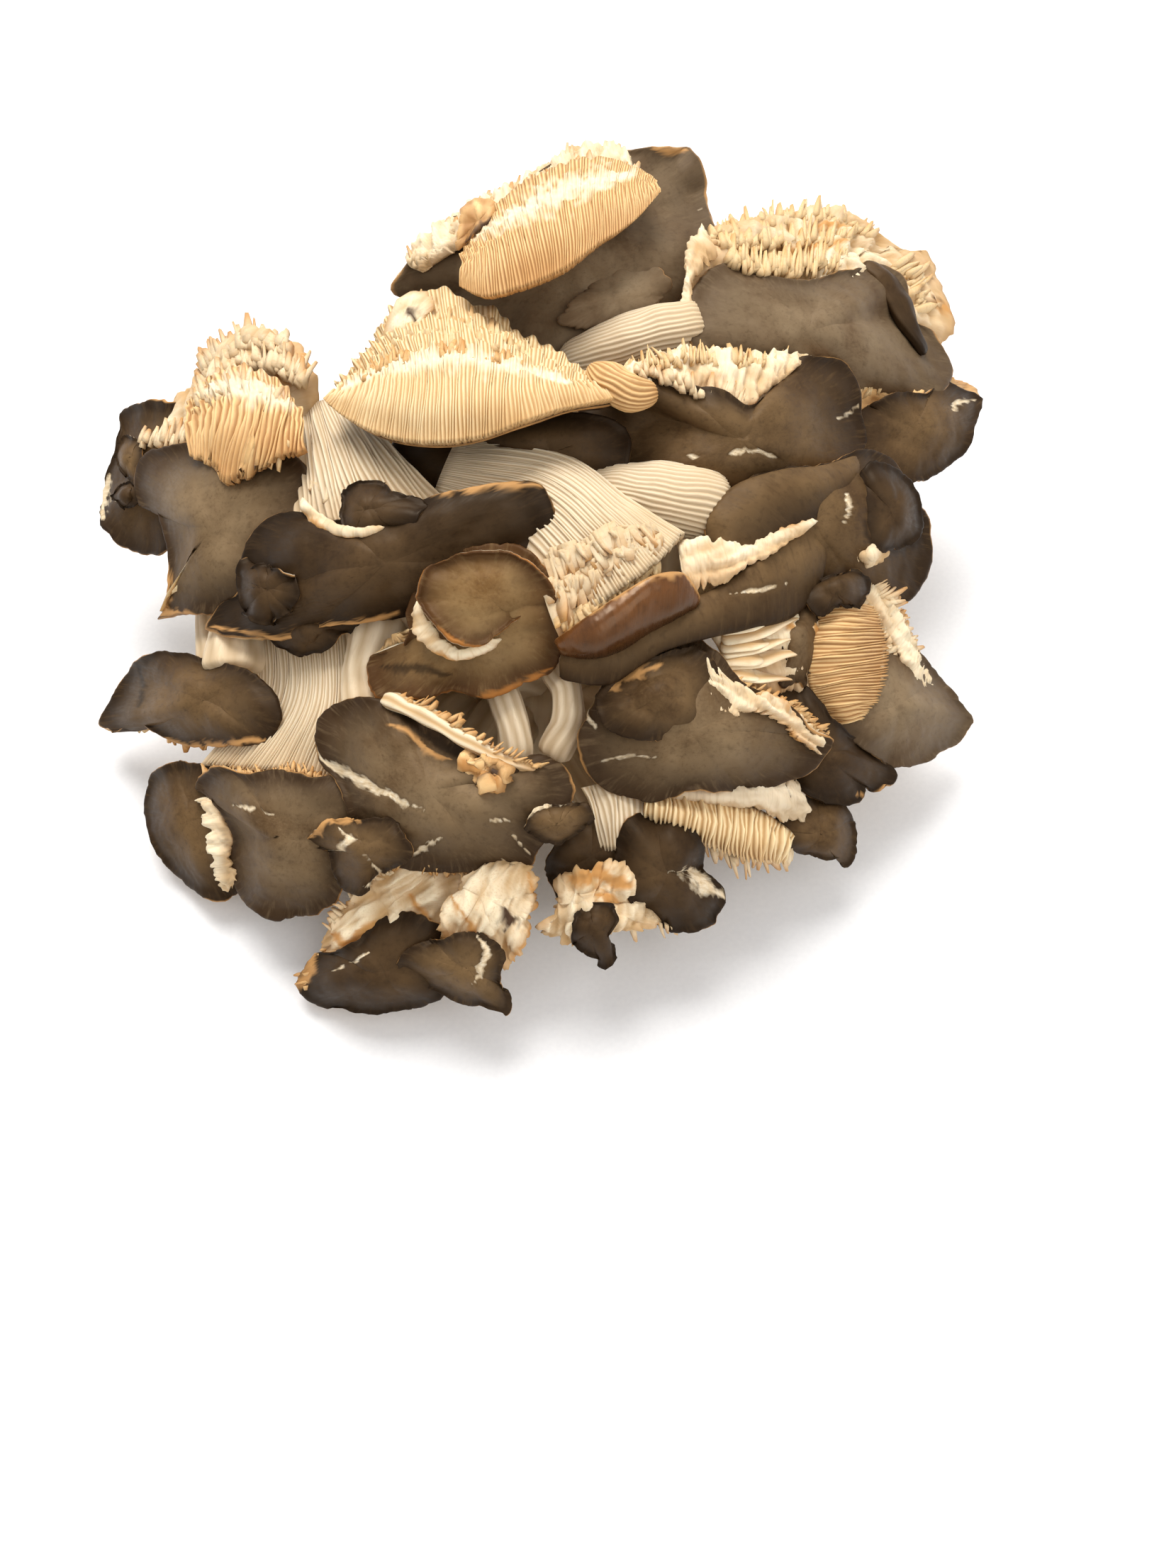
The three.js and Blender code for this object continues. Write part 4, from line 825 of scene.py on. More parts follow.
band_flesh = {
    "rows": [[36, -16, 0, 40, -20.5, 1, 46, -23.5, 1, 53, -26.7, 0, 60, -32, -1, 65.5, -35.5, -2],
             [37, -24, 2, 42, -26, 3, 48, -27.5, 3, 54, -29.5, 2, 59, -34, 1, 64, -37.5, -1],
             [31, -38, 2, 37, -35, 3, 43, -31, 3, 50, -30.6, 3, 54, -34, 2, 62.5, -40, -1]],
    "seed": 22, "grain": -0.6,
    "tans": [[2.2, 40, -20, 46, -23.2, 53, -26.6, 60, -31.5, 65.5, -35.5],
             [1.6, 47, -31, 54, -33.5, 62, -39.5]],
}
piece("front_right_cap", [
    (skin(front_right, 176, 30), skin_mid),
    (skin(front_right_lobe, 126, 22), skin_brown),
], ["cap_front_right"])
band_teeth = comb([43, -23.5, 1, 50, -26.5, 1, 57, -30, 0, 65, -36, -2],
                  [44.5, -21.5, 0, 51.8, -24.6, 0, 59.6, -28.8, -1, 67, -34.6, -3], 56, thick=1.1,
                  seed=11)
piece("front_right_gills", [
    (gill_fan(front_right), gill_cream),
    (band_teeth, gill_tan),
    (leaf_ribbon(band_flesh, columns=112, rings=20, flesh=1.0, ragged=0.35, rough=0.4), flesh_paint),
], ["gills_front_right"])

# Gilled wedge
# The underside of a narrow cap: a wedge of slanting gills below a fold of pale flesh, with torn ends along
# its lower edge.
wedge = {
    "rows": [[21, -47.5, -9, 31, -49, -8, 40, -50, -7, 48, -52.5, -7, 56, -58, -8],
             [23, -50.5, -5, 32, -53, -2, 40, -55.5, -1, 47, -57.5, -1, 55, -60, -4],
             [24, -51.5, -7, 32, -55.5, -5, 40, -59, -4, 47, -61.5, -4, 53.5, -61.7, -6]],
    "seed": 21,
}
low_fold = {
    "rows": [[27, -47, -7, 36, -46, -6, 46, -45, -5, 54, -43.5, -5, 61, -46.5, -6],
             [28, -48.7, -5, 36, -48.3, -4, 46, -49, -3, 54, -49.5, -3, 61, -51, -5],
             [28, -49.5, -7, 36, -50, -6, 46, -51.7, -6, 53, -54.3, -6, 59.5, -56.5, -8]],
    "seed": 24, "grain": -0.15,
}
low_flesh = comb([36, -58, -6, 43, -60.5, -6, 50, -61.5, -7, 56, -59, -8],
                 [37, -62, -9, 44, -66, -9, 51, -66.5, -10, 57, -64, -10], 22, thick=1.2, seed=12)
piece("wedge_gills", [
    (gill_ribbon(wedge, count=36, rings=10, slope=0.15), gill_cream),
    (leaf_ribbon(low_fold, columns=90, rings=16, flesh=1.0, ragged=0.3, rough=0.3), stem_paint),
    (low_flesh, flesh_paint),
], ["gills_wedge"])

# Dark lobes and a small cap
# Thin dark lobes of soft skin that come out behind the lower right cap, and a small brown cap at the foot
# of them. They narrow down into the flesh between the stems.
dark_lobes = {
    "hub": [64, -39, -4], "lift": 4, "wave": 1.6, "lobes": 4, "seed": 22,
    "rim": [50, -22, -9, 56, -22, -8, 60, -25.5, -7, 66.5, -32, -7, 70, -35.5, -7, 74, -39.5, -7,
            79.4, -44, -8, 78, -46.9, -8, 72.5, -46, -7, 71, -50, -8, 66.5, -50.5, -9, 60, -49, -11,
            53, -42, -13, 48, -32, -12],
    "tans": [[2.0, 70, -48, 74, -48.5, 76, -46.3]],
}
piece("dark_lobes_cap", [(skin(dark_lobes, 126, 22), skin_dark)], ["cap_dark_lobes"])
small_low = {
    "hub": [62.5, -57, -6], "lift": 3, "seed": 23, "wave": 1.0,
    "rim": [52, -55, -10, 56, -50, -11, 62, -49, -11, 67, -50, -10, 69.3, -54, -10, 70.2, -60, -11,
            69, -63.7, -11, 64, -62, -10, 56, -59.5, -10],
}
piece("small_low_cap", [(skin(small_low, 88, 16), skin_brown)], ["cap_small_low"])

# Round cap in the middle
# A golden brown cap on a short stem to the base. A round disc of skin stands up from it, and a white lip
# of torn flesh lies along the disc's lower edge.
skin_gold = skin_paint("skin_gold", colour(66, 39, 18), colour(111, 81, 46), colour(147, 120, 81),
                       colour(160, 104, 50), seed=7.0)
round_cap = {
    "hub": [-13, -8, -1], "lift": 4, "wave": 0.9, "seed": 24,
    "rim": [-3, 6.5, -2, -10, 8, -3, -20, 6, -3, -27, 1, -3, -30.5, -6, -4, -31, -13, -4,
            -35, -14.3, -4, -38.7, -17, -5, -39.3, -22, -6, -37, -27.2, -6, -28, -26.7, -5,
            -20, -25.5, -5, -12, -26, -5, -6, -24, -6, 3, -19, -6, 5, -11, -4, 4, -3, -2, 1, 3, -2],
    "darks": [[2.0, -36, -19.5, -30, -20, -20, -20.5]], "tans": [[2.0, -14, -25.5, -6, -23.5, 1, -19]],
}
round_disc = {
    "hub": [-12, -4, 2], "lift": -1.5, "wave": 0.35, "seed": 25, "ragged": 0.35, "roll": -1.2,
    "tans": [[2.6, -26.5, -9, -23, -13.5, -18, -15.6, -12, -14.4]],
    "rim": [-8.5, 7.4, 3, -15.3, 7.2, 3.5, -20, 6, 4, -24, 4.2, 4.5, -27.2, 1.6, 5, -29.1, -3, 5,
            -27, -7.5, 5, -24.2, -11, 4.5, -21.3, -14.2, 4, -17.5, -15.4, 3.5, -13.5, -14.6, 3,
            -9.5, -12, 2, -4, -9, -1.5, 2.5, -9, -3.5, 3.8, -3.5, 0, 1, 1.4, 1.5, -3.2, 5.3, 2.5],
}
round_lip = {
    "rows": [[-28, -4, 1, -25.5, -8.5, 2, -22.5, -12.5, 2.2, -19, -14.8, 2.2, -15, -14.4, 2,
              -9.5, -11.5, 0.5],
             [-28.8, -6, 1, -27.2, -10.6, 2, -24, -14.4, 2.5, -20.3, -16.6, 2.5, -14.8, -16, 2,
              -9.3, -12.6, 0],
             [-29.6, -8, -1, -28.8, -12.6, 0.5, -25.6, -15.6, 1, -20.8, -17.6, 1, -14.6, -17, 0,
              -9, -13.4, -2]],
    "seed": 13, "grain": 0.3, "tans": [[1.4, -28.8, -12.6, -25.6, -15.6, -20, -17.8, -14, -17]],
}
piece("round_cap", [(skin(round_cap, 170, 32), skin_gold), (skin(round_disc, 148, 24), skin_gold)],
      ["cap_round"])
piece("round_gills", [
    (gill_fan(round_cap), gill_cream),
    (leaf_ribbon(round_lip, columns=70, rings=12, flesh=0.6, ragged=0.2, rough=0.15), flesh_paint),
], ["gills_round"])

# Central fan and chestnut lobe
# The stem from the upper left spreads into a fan of gills. Its end is cracked into scales and rolls over
# into a glossy chestnut lobe of skin.
skin_chestnut = skin_paint("skin_chestnut", colour(28, 15, 8), colour(60, 33, 15),
                           colour(104, 62, 26), gloss=0.24, seed=8.0, shine=0.5)
chestnut = {
    "rows": [[2.8, -14, 1, 10, -8.6, 5, 17, -3.6, 7, 25, 1.2, 7.5, 31, 1.6, 5.5, 35, -4.5, 1],
             [3.4, -15, 2, 11, -11, 6.5, 18, -7, 8, 25, -2.5, 8, 31, -1, 6, 35, -5, 2],
             [4, -16, 1, 11, -15, 4.5, 18, -12.5, 5, 25, -8.5, 5, 31, -5.5, 4, 34.8, -5.4, 1],
             [5, -16.8, -1, 11, -17.2, 0, 18, -15.4, 0, 25, -11.4, 0, 31, -7.6, 0, 34.5, -5.8, -1]],
    "seed": 26, "tans": [[1.6, 3, -13.7, 10, -8.9, 17, -3.9, 25, 0.9, 31, 1.3, 35, -4.5]],
}
chestnut_fan = {
    "rows": [[-26, 12, -14, -23, 21, -10, -21, 26.5, -10, -19, 31, -13],
             [-15, 2, -13, -5, 16, -5, 1, 23, -5, 5, 27, -10],
             [-9, -7, -10, 6, 6, -1, 14, 13, -1, 19, 17, -6],
             [2, -14, -9, 13, -6, 1.5, 24, 2, 2, 32, 9.5, -1]],
    "seed": 25, "tans": [[1.6, 4, -8, 5, 0, 8, -4], [1.2, 8, 2, 15, 5, 22, 8]],
}
scales = comb([1, 6, -1, 8, 8, 2, 16, 12, 2, 25, 12, 1], [4, -5, 1, 11, 0, 3, 19, 4, 3, 28, 8, 2], 80,
              thick=2.4, deep=0.6, seed=14, least=0.2)
low_scales = comb([1, -1, 0, 8, 2, 2.5, 16, 6, 3, 26, 10, 2],
                  [4, -11, 1, 10.5, -6, 3, 18, -1, 3.5, 28, 6, 2.5], 80, thick=2.2, deep=0.6, seed=16,
                  least=0.25)
scale_ends = comb([3.6, -9, 1, 10, -5, 2, 18, -0.5, 3, 26, 4, 2],
                  [4.5, -14.5, 2, 11.5, -9.5, 3, 19, -4, 3, 27, 1, 3], 36, thick=1.9, deep=0.7,
                  seed=15)
piece("chestnut_lobe", [(leaf_ribbon(chestnut, columns=112, rings=26, flesh=1.2), skin_chestnut)],
      ["cap_chestnut"])
piece("chestnut_gills", [
    (gill_ribbon(chestnut_fan, count=48, rings=30, deep=0.5), stem_paint),
    (scales, flesh_paint),
    (low_scales, flesh_paint),
    (scale_ends, gill_cream),
], ["gills_chestnut"])

# Long cap
# A long brown cap that carries on from the fan to the right, with gills behind it and a tongue of torn
# cream flesh along its upper side.
long_cap = {
    "rows": [[5, -14, -2, 16, -13, -1, 26, -8, -1, 35, -4, -1, 45, 2.5, 0, 54, 9, -1, 62, 14.5, -3],
             [4, -18, 0, 16, -18, 1, 27, -12, 1, 37, -8, 1, 47, -3, 1, 56, 2, 0, 63.8, 7, -3],
             [4, -21.5, -2, 15, -23, -1, 26, -16, 0, 37, -13, 0, 47, -11, 0, 56, -8.5, -2, 62, -1, -5]],
    "tears": [[0.8, 41, -4, 48, -2.5, 55, -0.5]], "seed": 27,
}
tongue = {
    "rows": [[30, 9.5, -3, 37, 9, -1, 45, 9.8, 0, 53, 12, 1, 62, 14.3, 0.5],
             [31, 5, 0, 38, 5.5, 1.5, 46, 6.5, 2, 53, 9.3, 2.5, 62, 13.6, 1.5],
             [32, -3, 1, 38, -2.5, 2, 46, 2, 2.5, 53, 6.5, 2.5, 60, 11.6, 1]],
    "seed": 28, "grain": 0.3, "tans": [[1.2, 47, 10, 54, 11.5, 61, 13.5]],
}
piece("long_cap", [(leaf_ribbon(long_cap, columns=142, rings=26, flesh=2.0), skin_brown)],
      ["cap_long"])
piece("long_gills", [
    (gill_ribbon(long_cap, count=46, rings=10, sink=-3.4), gill_cream),
    (leaf_ribbon(tongue, columns=98, rings=16, flesh=1.1, ragged=0.2, rough=0.35), flesh_paint),
], ["gills_long"])

# Torn flesh
# Pale flesh torn open below the long cap, ribbed and drawn out into flat fingers over a brown face of
# skin.
torn = {
    "grain": 0.25,
    "rows": [[36, -10, -7, 44, -8, -6, 51, -6.5, -5, 57, -5, -6, 63, -5, -8],
             [40, -16, -5, 46, -15.5, -4, 52, -15, -3, 57, -14, -4, 62.5, -14, -7],
             [43, -25, -7, 48, -26, -6, 53, -26.5, -7, 57, -26, -7, 61, -24, -9]],
    "seed": 29, "tans": [[3.5, 54, -10, 57.5, -14, 58, -20], [2.5, 58, -8, 61, -14, 60, -20]],
}
fingers = [rod([40, v, -4, 40.5 + 0.5 * reach, v + 0.4 * rise, 0, 41 + reach, v + rise, -1.5],
               [2.6, 1.9, 0.2], ribs=3, deep=0.16, flat=0.4)
           for v, reach, rise in ((-11, 13, 3.2), (-13, 17, 4.6), (-14.6, 14, 1.2), (-16, 17, 3.6),
                                  (-17.6, 13, 0.2), (-18.4, 18.5, 2.4), (-20, 12.5, -2.6),
                                  (-20.6, 15.5, -2))]
torn_face = {
    "hub": [57, -13, -1.5], "lift": 1.5, "wave": 0.6, "seed": 30, "ragged": 1.6,
    "rim": [51, -9, -4, 56, -6.5, -4, 61, -4.5, -5, 62.5, -10, -5, 62, -16, -6, 60.5, -21, -6,
            58, -24.5, -6, 53, -24, -5, 55, -19, -4, 52, -15, -4],
}
piece("torn_flesh", [
    (leaf_ribbon(torn, columns=82, rings=20, flesh=1.6, ragged=0.1, rough=0.3), flesh_paint),
    (skin(torn_face, 88, 14), skin_mid),
] + [(finger, flesh_paint) for finger in fingers], ["gills_torn"])

# Curled cap
# A large brown cap at the right, its upper left margin rolled over and a small dark roll inside its right
# one. It sits on a thick fluted stem that comes in level from the left.
curled = {
    "hub": [61, 13, -1], "lift": 5, "wave": 1.1, "seed": 26,
    "rim": [37, 9, -6, 37.5, 16, -4, 43, 21, -2, 52, 24.5, -1, 62, 25.7, -1, 72, 29.5, -3, 78, 27, -4,
            82, 22, -5, 86, 16, -7, 87.7, 8, -9, 87, 2, -11, 82, -5, -13, 74, -6, -12, 64, -6, -12,
            54, -2, -11, 44, 2, -9],
    "tears": [[1.4, 66.5, 12.5, 68, 16, 67.5, 19]],
    "darks": [[2.4, 71.5, 14, 72, 9.5, 75, 6.5, 79, 7, 83, 8.5, 84.5, 13, 83.5, 18]],
}
curled_roll = {
    "rows": [[37, 8, -4, 37.3, 14, -2, 42, 20.5, 0, 52, 24.5, 1, 62, 25.7, 1, 71.5, 28.7, -3],
             [42, 5, -1, 43.5, 12, 2, 49, 17, 3.5, 57, 20, 4, 65, 21.5, 3, 72, 25.5, -2.5],
             [52, 0, -5, 53, 6, -1, 57, 10.5, 0, 62, 13.5, 0.5, 68, 17, -1.5, 72, 21, -4.5]],
    "seed": 27,
}
inner_curl = {
    "hub": [78, 15, 2], "lift": 3, "wave": 0.7, "seed": 28,
    "rim": [71.5, 20, -1, 74, 26.5, -1, 80, 24, -1, 83.5, 20, -2, 84.7, 14, -3, 84, 9.3, -3,
            78, 6.7, -3, 74.5, 6.2, -3, 72, 10, -2],
}
pale_bit = {
    "hub": [72.5, 5.5, 0], "lift": 1, "wave": 0.4, "seed": 29, "ragged": 0.8,
    "rim": [68.5, 7.5, -3, 69, 5.3, -3, 71, 3.7, -3, 75, 3.2, -3, 78.5, 6.5, -3, 73, 7.8, -3],
}
curled_stem = rod([8, 21, -18, 18, 20.5, -12, 29, 18.5, -9, 41, 16, -9], [4.5, 6.6, 8.4, 9],
                  around=160, steps=20, ribs=38, deep=0.03)
piece("curled_cap", [
    (skin(curled, 170, 32), skin_brown),
    (skin(inner_curl, 96, 16), skin_dark),
    (leaf_ribbon(curled_roll, columns=112, rings=22, flesh=1.2), skin_brown),
], ["cap_curled"])
piece("curled_gills", [
    (gill_fan(curled), gill_cream),
    (curled_stem, stem_paint),
    (torn_flap(pale_bit, columns=60, rings=10), flesh_paint),
], ["gills_curled"])

# Oval of gills
# A small cap turned up so that its oval underside faces forward: wavy tan gills under a dark upper edge,
# with torn white flesh along the right.
oval = {
    "hub": [66, -2, 2.5], "lift": 2, "seed": 27, "wave": 0.5,
    "rim": [59, -4, -2, 64, -0.5, -1, 68, 1, -1, 72.5, 1, -2, 73, -3.5, -2, 70.5, -5.6, 0,
            66, -5.6, 0, 61.5, -7.3, -1],
}
oval_gills = {
    "rows": [[62, -6.5, -6, 60.3, -13, -5, 60, -21, -5, 61.7, -26.5, -6, 66, -31, -8],
             [68.5, -5.5, -2, 68, -12.5, 0.5, 68, -20, 1, 68.5, -26, 0, 69, -31, -4],
             [73, -6.5, -6, 75.6, -12, -5, 76.2, -19, -5, 74.7, -25.5, -6, 71.5, -30, -8]],
    "seed": 28,
}
piece("oval_cap", [(skin(oval, 82, 14), skin_dark)], ["cap_oval"])
piece("oval_gills", [
    (gill_ribbon(oval_gills, count=42, rings=16, deep=0.8), gill_tan),
    (comb([72, -8, -4, 75.5, -14, -3, 75.5, -21, -3, 73.5, -27, -4],
          [73.5, -8, -5, 77.5, -14, -4, 77.3, -21, -4, 75, -28, -5], 26, seed=19), flesh_paint),
], ["gills_oval"])

# Right low cap
# A thin grey cap with a pointed right end. A white band of torn flesh with a row of gill ends on each side
# lies across its top.
skin_grey = skin_paint("skin_grey", colour(54, 38, 24), colour(94, 74, 53), colour(129, 110, 85),
                       seed=6.0, dusk=0.6)
right_low = {
    "hub": [80, -28, -3], "lift": 4, "wave": 1.2, "seed": 29,
    "rim": [72, -10, -10, 78, -12, -9, 85, -17, -9, 90, -23.5, -10, 93.5, -27, -11, 96.5, -31.5, -13,
            92, -37.2, -13, 85, -41, -12, 78, -42, -10, 72, -37.3, -8, 66, -32.5, -9, 66, -26, -9,
            68, -17, -9],
    "darks": [[1.2, 84, -15, 87, -18, 88, -22]],
}
right_teeth = [comb([72, -1, -6, 77, -5, -5, 80, -12, -5, 82, -19, -6, 86, -26, -9],
                    [76, 2, -8, 82, -3, -7, 84.5, -10, -7, 86, -17, -8, 90, -25, -11], 34, thick=0.9,
                    seed=17),
               comb([73, -4, -6, 77, -9, -5, 79.5, -16, -5, 83, -23, -7],
                    [70.5, -7, -7, 74.5, -12, -6, 77, -18, -6, 81, -25, -8], 22, thick=0.9, seed=18)]
right_band = {
    "rows": [[74, 1, -9, 80, -3.5, -8, 83.5, -10, -8, 85.5, -18, -9, 90, -30, -12],
             [73, -3, -6, 77.5, -7.5, -5, 81, -14, -5, 83.5, -21, -6, 88.5, -30.5, -9],
             [71.5, -6.5, -8, 75, -11, -7, 78.5, -16.5, -7, 82, -23.5, -8, 87, -31, -11]],
    "seed": 31, "grain": -1.1, "tans": [[1.6, 74.5, 0, 80, -4, 83.3, -10.5, 85.3, -18]],
}
piece("right_low_cap", [(skin(right_low, 140, 24), skin_grey)], ["cap_right_low"])
piece("right_low_gills", [
    (gill_fan(right_low), gill_cream),
    (right_teeth[0], flesh_paint),
    (right_teeth[1], flesh_paint),
    (leaf_ribbon(right_band, columns=90, rings=14, flesh=1.2, ragged=0.3, rough=0.4), flesh_paint),
], ["gills_right_low"])

# Centre right cap
# A wide brown cap below a white torn strip and a comb of gill ends, with a curled gilled lobe at its left.
# It grows on a stem from the base.
centre_right = {
    "hub": [45, 32, -1], "lift": 5, "wave": 1.2, "lobes": 6, "seed": 30,
    "rim": [8, 35, -20, 11, 44, -17, 18, 46, -6, 26, 45.5, -4, 33, 43.5, -3, 40, 42, -2, 46, 38.5, -2,
            52, 43, -3, 61, 50.5, -5, 67, 49.5, -6, 70.8, 44.5, -7, 71.7, 38, -8, 73, 31, -9,
            71, 24, -9, 60, 19, -10, 50, 17, -11, 40, 16, -12, 28, 18, -15, 16, 21, -20, 10, 29, -20],
    "tears": [[1.8, 41, 28, 47, 29.5, 52, 28.5],
              [1.0, 33, 27.5, 35, 27.3],
              [0.9, 65.5, 36.3, 68, 37.5, 71, 40]],
}
centre_top = {
    "rows": [[17, 47, -5, 25, 51, -6, 33, 53.3, -5, 40, 52.4, -5, 47, 51.6, -5, 54, 51.6, -5,
              61.5, 51, -7],
             [18, 45, -4, 26, 47.5, -3, 33, 48, -2, 40, 47.5, -1.5, 47, 46.5, -1, 54, 49, -3,
              61, 51, -6],
             [17.5, 42, -5, 26, 43, -4, 31, 41.5, -3, 37, 41, -2, 45, 37.5, -1, 53, 44, -2,
              61, 50.5, -5]],
    "seed": 32,
}
centre_comb = [comb([18, 46, -3, 26, 48, -2, 33, 49, -1, 40, 48.5, -1, 47, 48, -1, 55, 49, -3],
                    [19, 50.5, -6, 25, 52.5, -5, 33, 53.8, -4, 40, 52.8, -4, 47, 52, -4, 56, 51.8, -6],
                    54, thick=0.5, seed=20, least=0.6),
               comb([21, 46, -2, 27, 45, -1, 33, 42.5, 0, 42, 40, 0, 47, 40, 0],
                    [20, 49.5, -2, 26.5, 49.5, -1, 33, 48, 0, 43, 45.5, 0, 49, 44, 0], 30, thick=0.9,
                    seed=21)]
curl = rod([11, 48.5, -4, 15, 45, -1, 20, 42.5, 0, 25.5, 42.5, -2], [1.6, 4.2, 4.4, 2.2], around=88,
           steps=20, ribs=20, deep=0.06)
piece("centre_right_cap", [(skin(centre_right, 176, 28), skin_brown)],
      ["cap_centre_right"])
piece("centre_right_gills", [
    (gill_fan(centre_right), gill_tan),
    (curl, gill_tan),
    (centre_comb[0], gill_cream),
    (centre_comb[1], flesh_paint),
    (leaf_ribbon(centre_top, columns=112, rings=18, flesh=0.9, ragged=0.2, rough=0.45), flesh_paint),
], ["gills_centre_right"])

# Upturned cap
# A cap torn over so that its gills face forward: a long comb of gills under a smooth cream band, with
# broken gills and a pale flank above. Its brown skin faces back and down.
upturned = {
    "rows": [[-45, 43, -7, -38.5, 51, -9, -33, 60, -12, -25, 63.5, -13, -16, 61.5, -12, -6, 55, -11,
              4, 49, -9, 12, 45, -7],
             [-46, 42, -4, -38, 47.5, -2, -31, 50.5, 0, -23, 51.5, 1, -14, 50.5, 1, -5, 48, 0,
              4, 45, -1, 13, 43, -3],
             [-47, 41, -2, -39, 41, 2, -31, 40, 5, -23, 40, 6, -14, 40.5, 6, -5, 41.5, 5, 5, 42, 3,
              14.5, 41.5, 0],
             [-48.5, 40, -2, -41, 34.5, 1, -32, 31, 3, -23, 30.2, 4, -14, 31.5, 4, -4, 35, 4,
              6, 38.2, 3, 16, 40, 0]],
    "seed": 31, "broken": 1.0, "tears": [[3.4, -44, 42, -34, 47, -24, 48.5, -13, 48, -4, 46, 6, 43]],
}
upturned_flank = {
    "hub": [-31, 57, -4], "lift": 1, "wave": 0.5, "seed": 33, "ragged": 0.9,
    "rim": [-36, 48, -5, -36.5, 54, -7, -34.5, 60, -9, -31.5, 64.5, -11, -27, 65.5, -10, -24, 63, -6,
            -26.5, 57, -3, -30.5, 51.5, -2],
    "darks": [[2.4, -30, 60.4, -29, 58.6]],
}
broken_gills = [comb([-34, 51, -1, -27, 52.5, 0, -19, 52.5, 0, -11, 51, 0, -3, 49, -1],
                     [-33, 60.5, -8, -26.5, 63.5, -9, -18, 62, -9, -10.5, 57.5, -6, -3, 53, -4], 50,
                     thick=1.1, deep=1.8, seed=22, least=0.5),
                comb([-40, 44.5, 1, -32, 48, 2.5, -23, 49.5, 3, -14, 49, 3, -5, 47, 2],
                     [-40, 47.5, -1, -32.5, 52.5, 1, -23, 54, 2, -13.5, 53, 2, -4, 50, 1], 56,
                     thick=0.9, deep=1.4, seed=23)]
piece("upturned_gills", [
    (gill_ribbon(upturned, count=88, rings=26, deep=0.6), gill_cream),
    (torn_flap(upturned_flank, columns=72, rings=10, thick=0.9, rough=0.2), flesh_paint),
    (broken_gills[0], gill_cream),
    (broken_gills[1], gill_tan),
], ["gills_upturned"])
piece("upturned_cap", [
    (leaf_ribbon(upturned, columns=82, rings=20, flesh=2.2, sink=0.4, side=-1), skin_brown),
], ["cap_upturned"])

# Dark left cap
# A wide dark cap with small lobes and a white crescent of flesh on it, hanging from a cream stem that
# spreads into ribs above it.
dark_left = {
    "hub": [-35, 4, 2], "lift": 7, "wave": 1.2, "lobes": 6, "seed": 32,
    "rim": [-67.7, 4, -4, -65, 10.5, -3, -60, 14.4, -2, -53.5, 14, -1, -48, 13, -2, -42, 14, -2,
            -36, 14, -2, -28, 16.5, -1, -18, 19.8, 0, -8, 21.3, 0, 0, 21, -1, 2.6, 14.5, -3, 1, 6, -8,
            -8, -1, -10, -20, -5, -10, -30, -7, -9, -37, -8, -7, -46, -9.6, -6, -58, -12.6, -5,
            -68, -13.5, -6, -75.3, -11, -8, -72, -5, -7, -68, -1, -6],
    "tans": [[1.6, -28, 16.8, -20, 18.8, -10, 20.6, 0, 20.6],
             [1.6, -74, -11, -60, -12.3, -46, -9.2, -33, -6]],
}
dark_left_fold = {
    "hub": [-39, 15.5, 3], "lift": 2, "wave": 0.7, "seed": 33,
    "rim": [-45, 13.5, 0, -44.9, 17, 0, -44, 20, 0, -42, 22, 0, -39, 22, 0, -36, 21.3, 0,
            -33, 19.3, 0, -29, 17.5, 0, -25, 15.7, 0, -29, 13.3, 1, -35, 12, 1, -39, 10.3, 1,
            -43, 10.5, 1],
    "tears": [[1.3, -44, 11.5, -40, 10.3, -36, 12]],
}
dark_left_crescent = {
    "rows": [[-54, 19, -0.5, -49.5, 15, 2, -44.5, 12.4, 3.6, -40, 11.8, 4.2, -35.4, 12.6, 3.4],
             [-54.4, 17.6, 0, -50.3, 13.4, 3, -45, 11.2, 4.4, -40, 10.9, 4.8, -35.4, 12.2, 3.6],
             [-54.6, 16, -1, -51, 12, 2, -45.5, 9.8, 3.4, -40, 10, 4, -35.6, 11.8, 3]],
    "seed": 33, "grain": -0.4, "tans": [[1.2, -54, 16, -50, 12, -45.5, 9.8, -40, 10]],
}
dark_left_lobe = {
    "hub": [-61.5, -2, 3.5], "lift": 2, "wave": 1.2, "lobes": 7, "seed": 34,
    "rim": [-67.7, 4, 0, -65, 3.5, 0, -60, 2.5, 1, -56, 2, 1, -54.5, -2, 1, -56, -6, 1, -59, -8.5, 0,
            -63, -10, 0, -66.5, -8, 0, -67.5, -4, 0],
    "tans": [[1.0, -67, 4, -56, 2.3]],
}
dark_left_low = {
    "hub": [-52, -11.5, -5], "lift": 2, "wave": 0.6, "seed": 35,
    "rim": [-62, -11, -9, -59, -15, -9, -54, -16.5, -8, -49.5, -15.7, -8, -45, -12.5, -8, -40, -7, -9,
            -50, -5, -9],
}
dark_left_fan = {
    "rows": [[-54.5, 38, -25, -51, 39, -21, -47.5, 39.5, -21, -43, 38, -24],
             [-54.5, 27, -15, -48, 27.5, -9, -41, 28, -8, -33, 28.5, -13],
             [-55, 13, -10, -44, 12, -5, -33, 14, -5, -22, 17.5, -8]],
    "seed": 33,
}
fan_bits = comb([-52, 22, -7, -47, 20, -6, -44, 18, -5],
                [-51.5, 15.5, -6, -47, 13.5, -5, -43, 11, -4], 12, thick=1.1, deep=1.4, seed=24)
hang_bits = comb([-54, 30, -12, -54.5, 25, -10, -54.5, 20, -9],
                 [-57.5, 27, -12, -58, 22.5, -10, -57, 16.5, -9], 9, thick=1.4, deep=1.5, seed=25)
piece("dark_left_cap", [
    (skin(dark_left, 180, 30), skin_dark),
    (skin(dark_left_fold, 96, 14), skin_dark),
    (skin(dark_left_lobe, 88, 14), skin_dark),
    (skin(dark_left_low, 66, 12), skin_dark),
], ["cap_dark_left"])
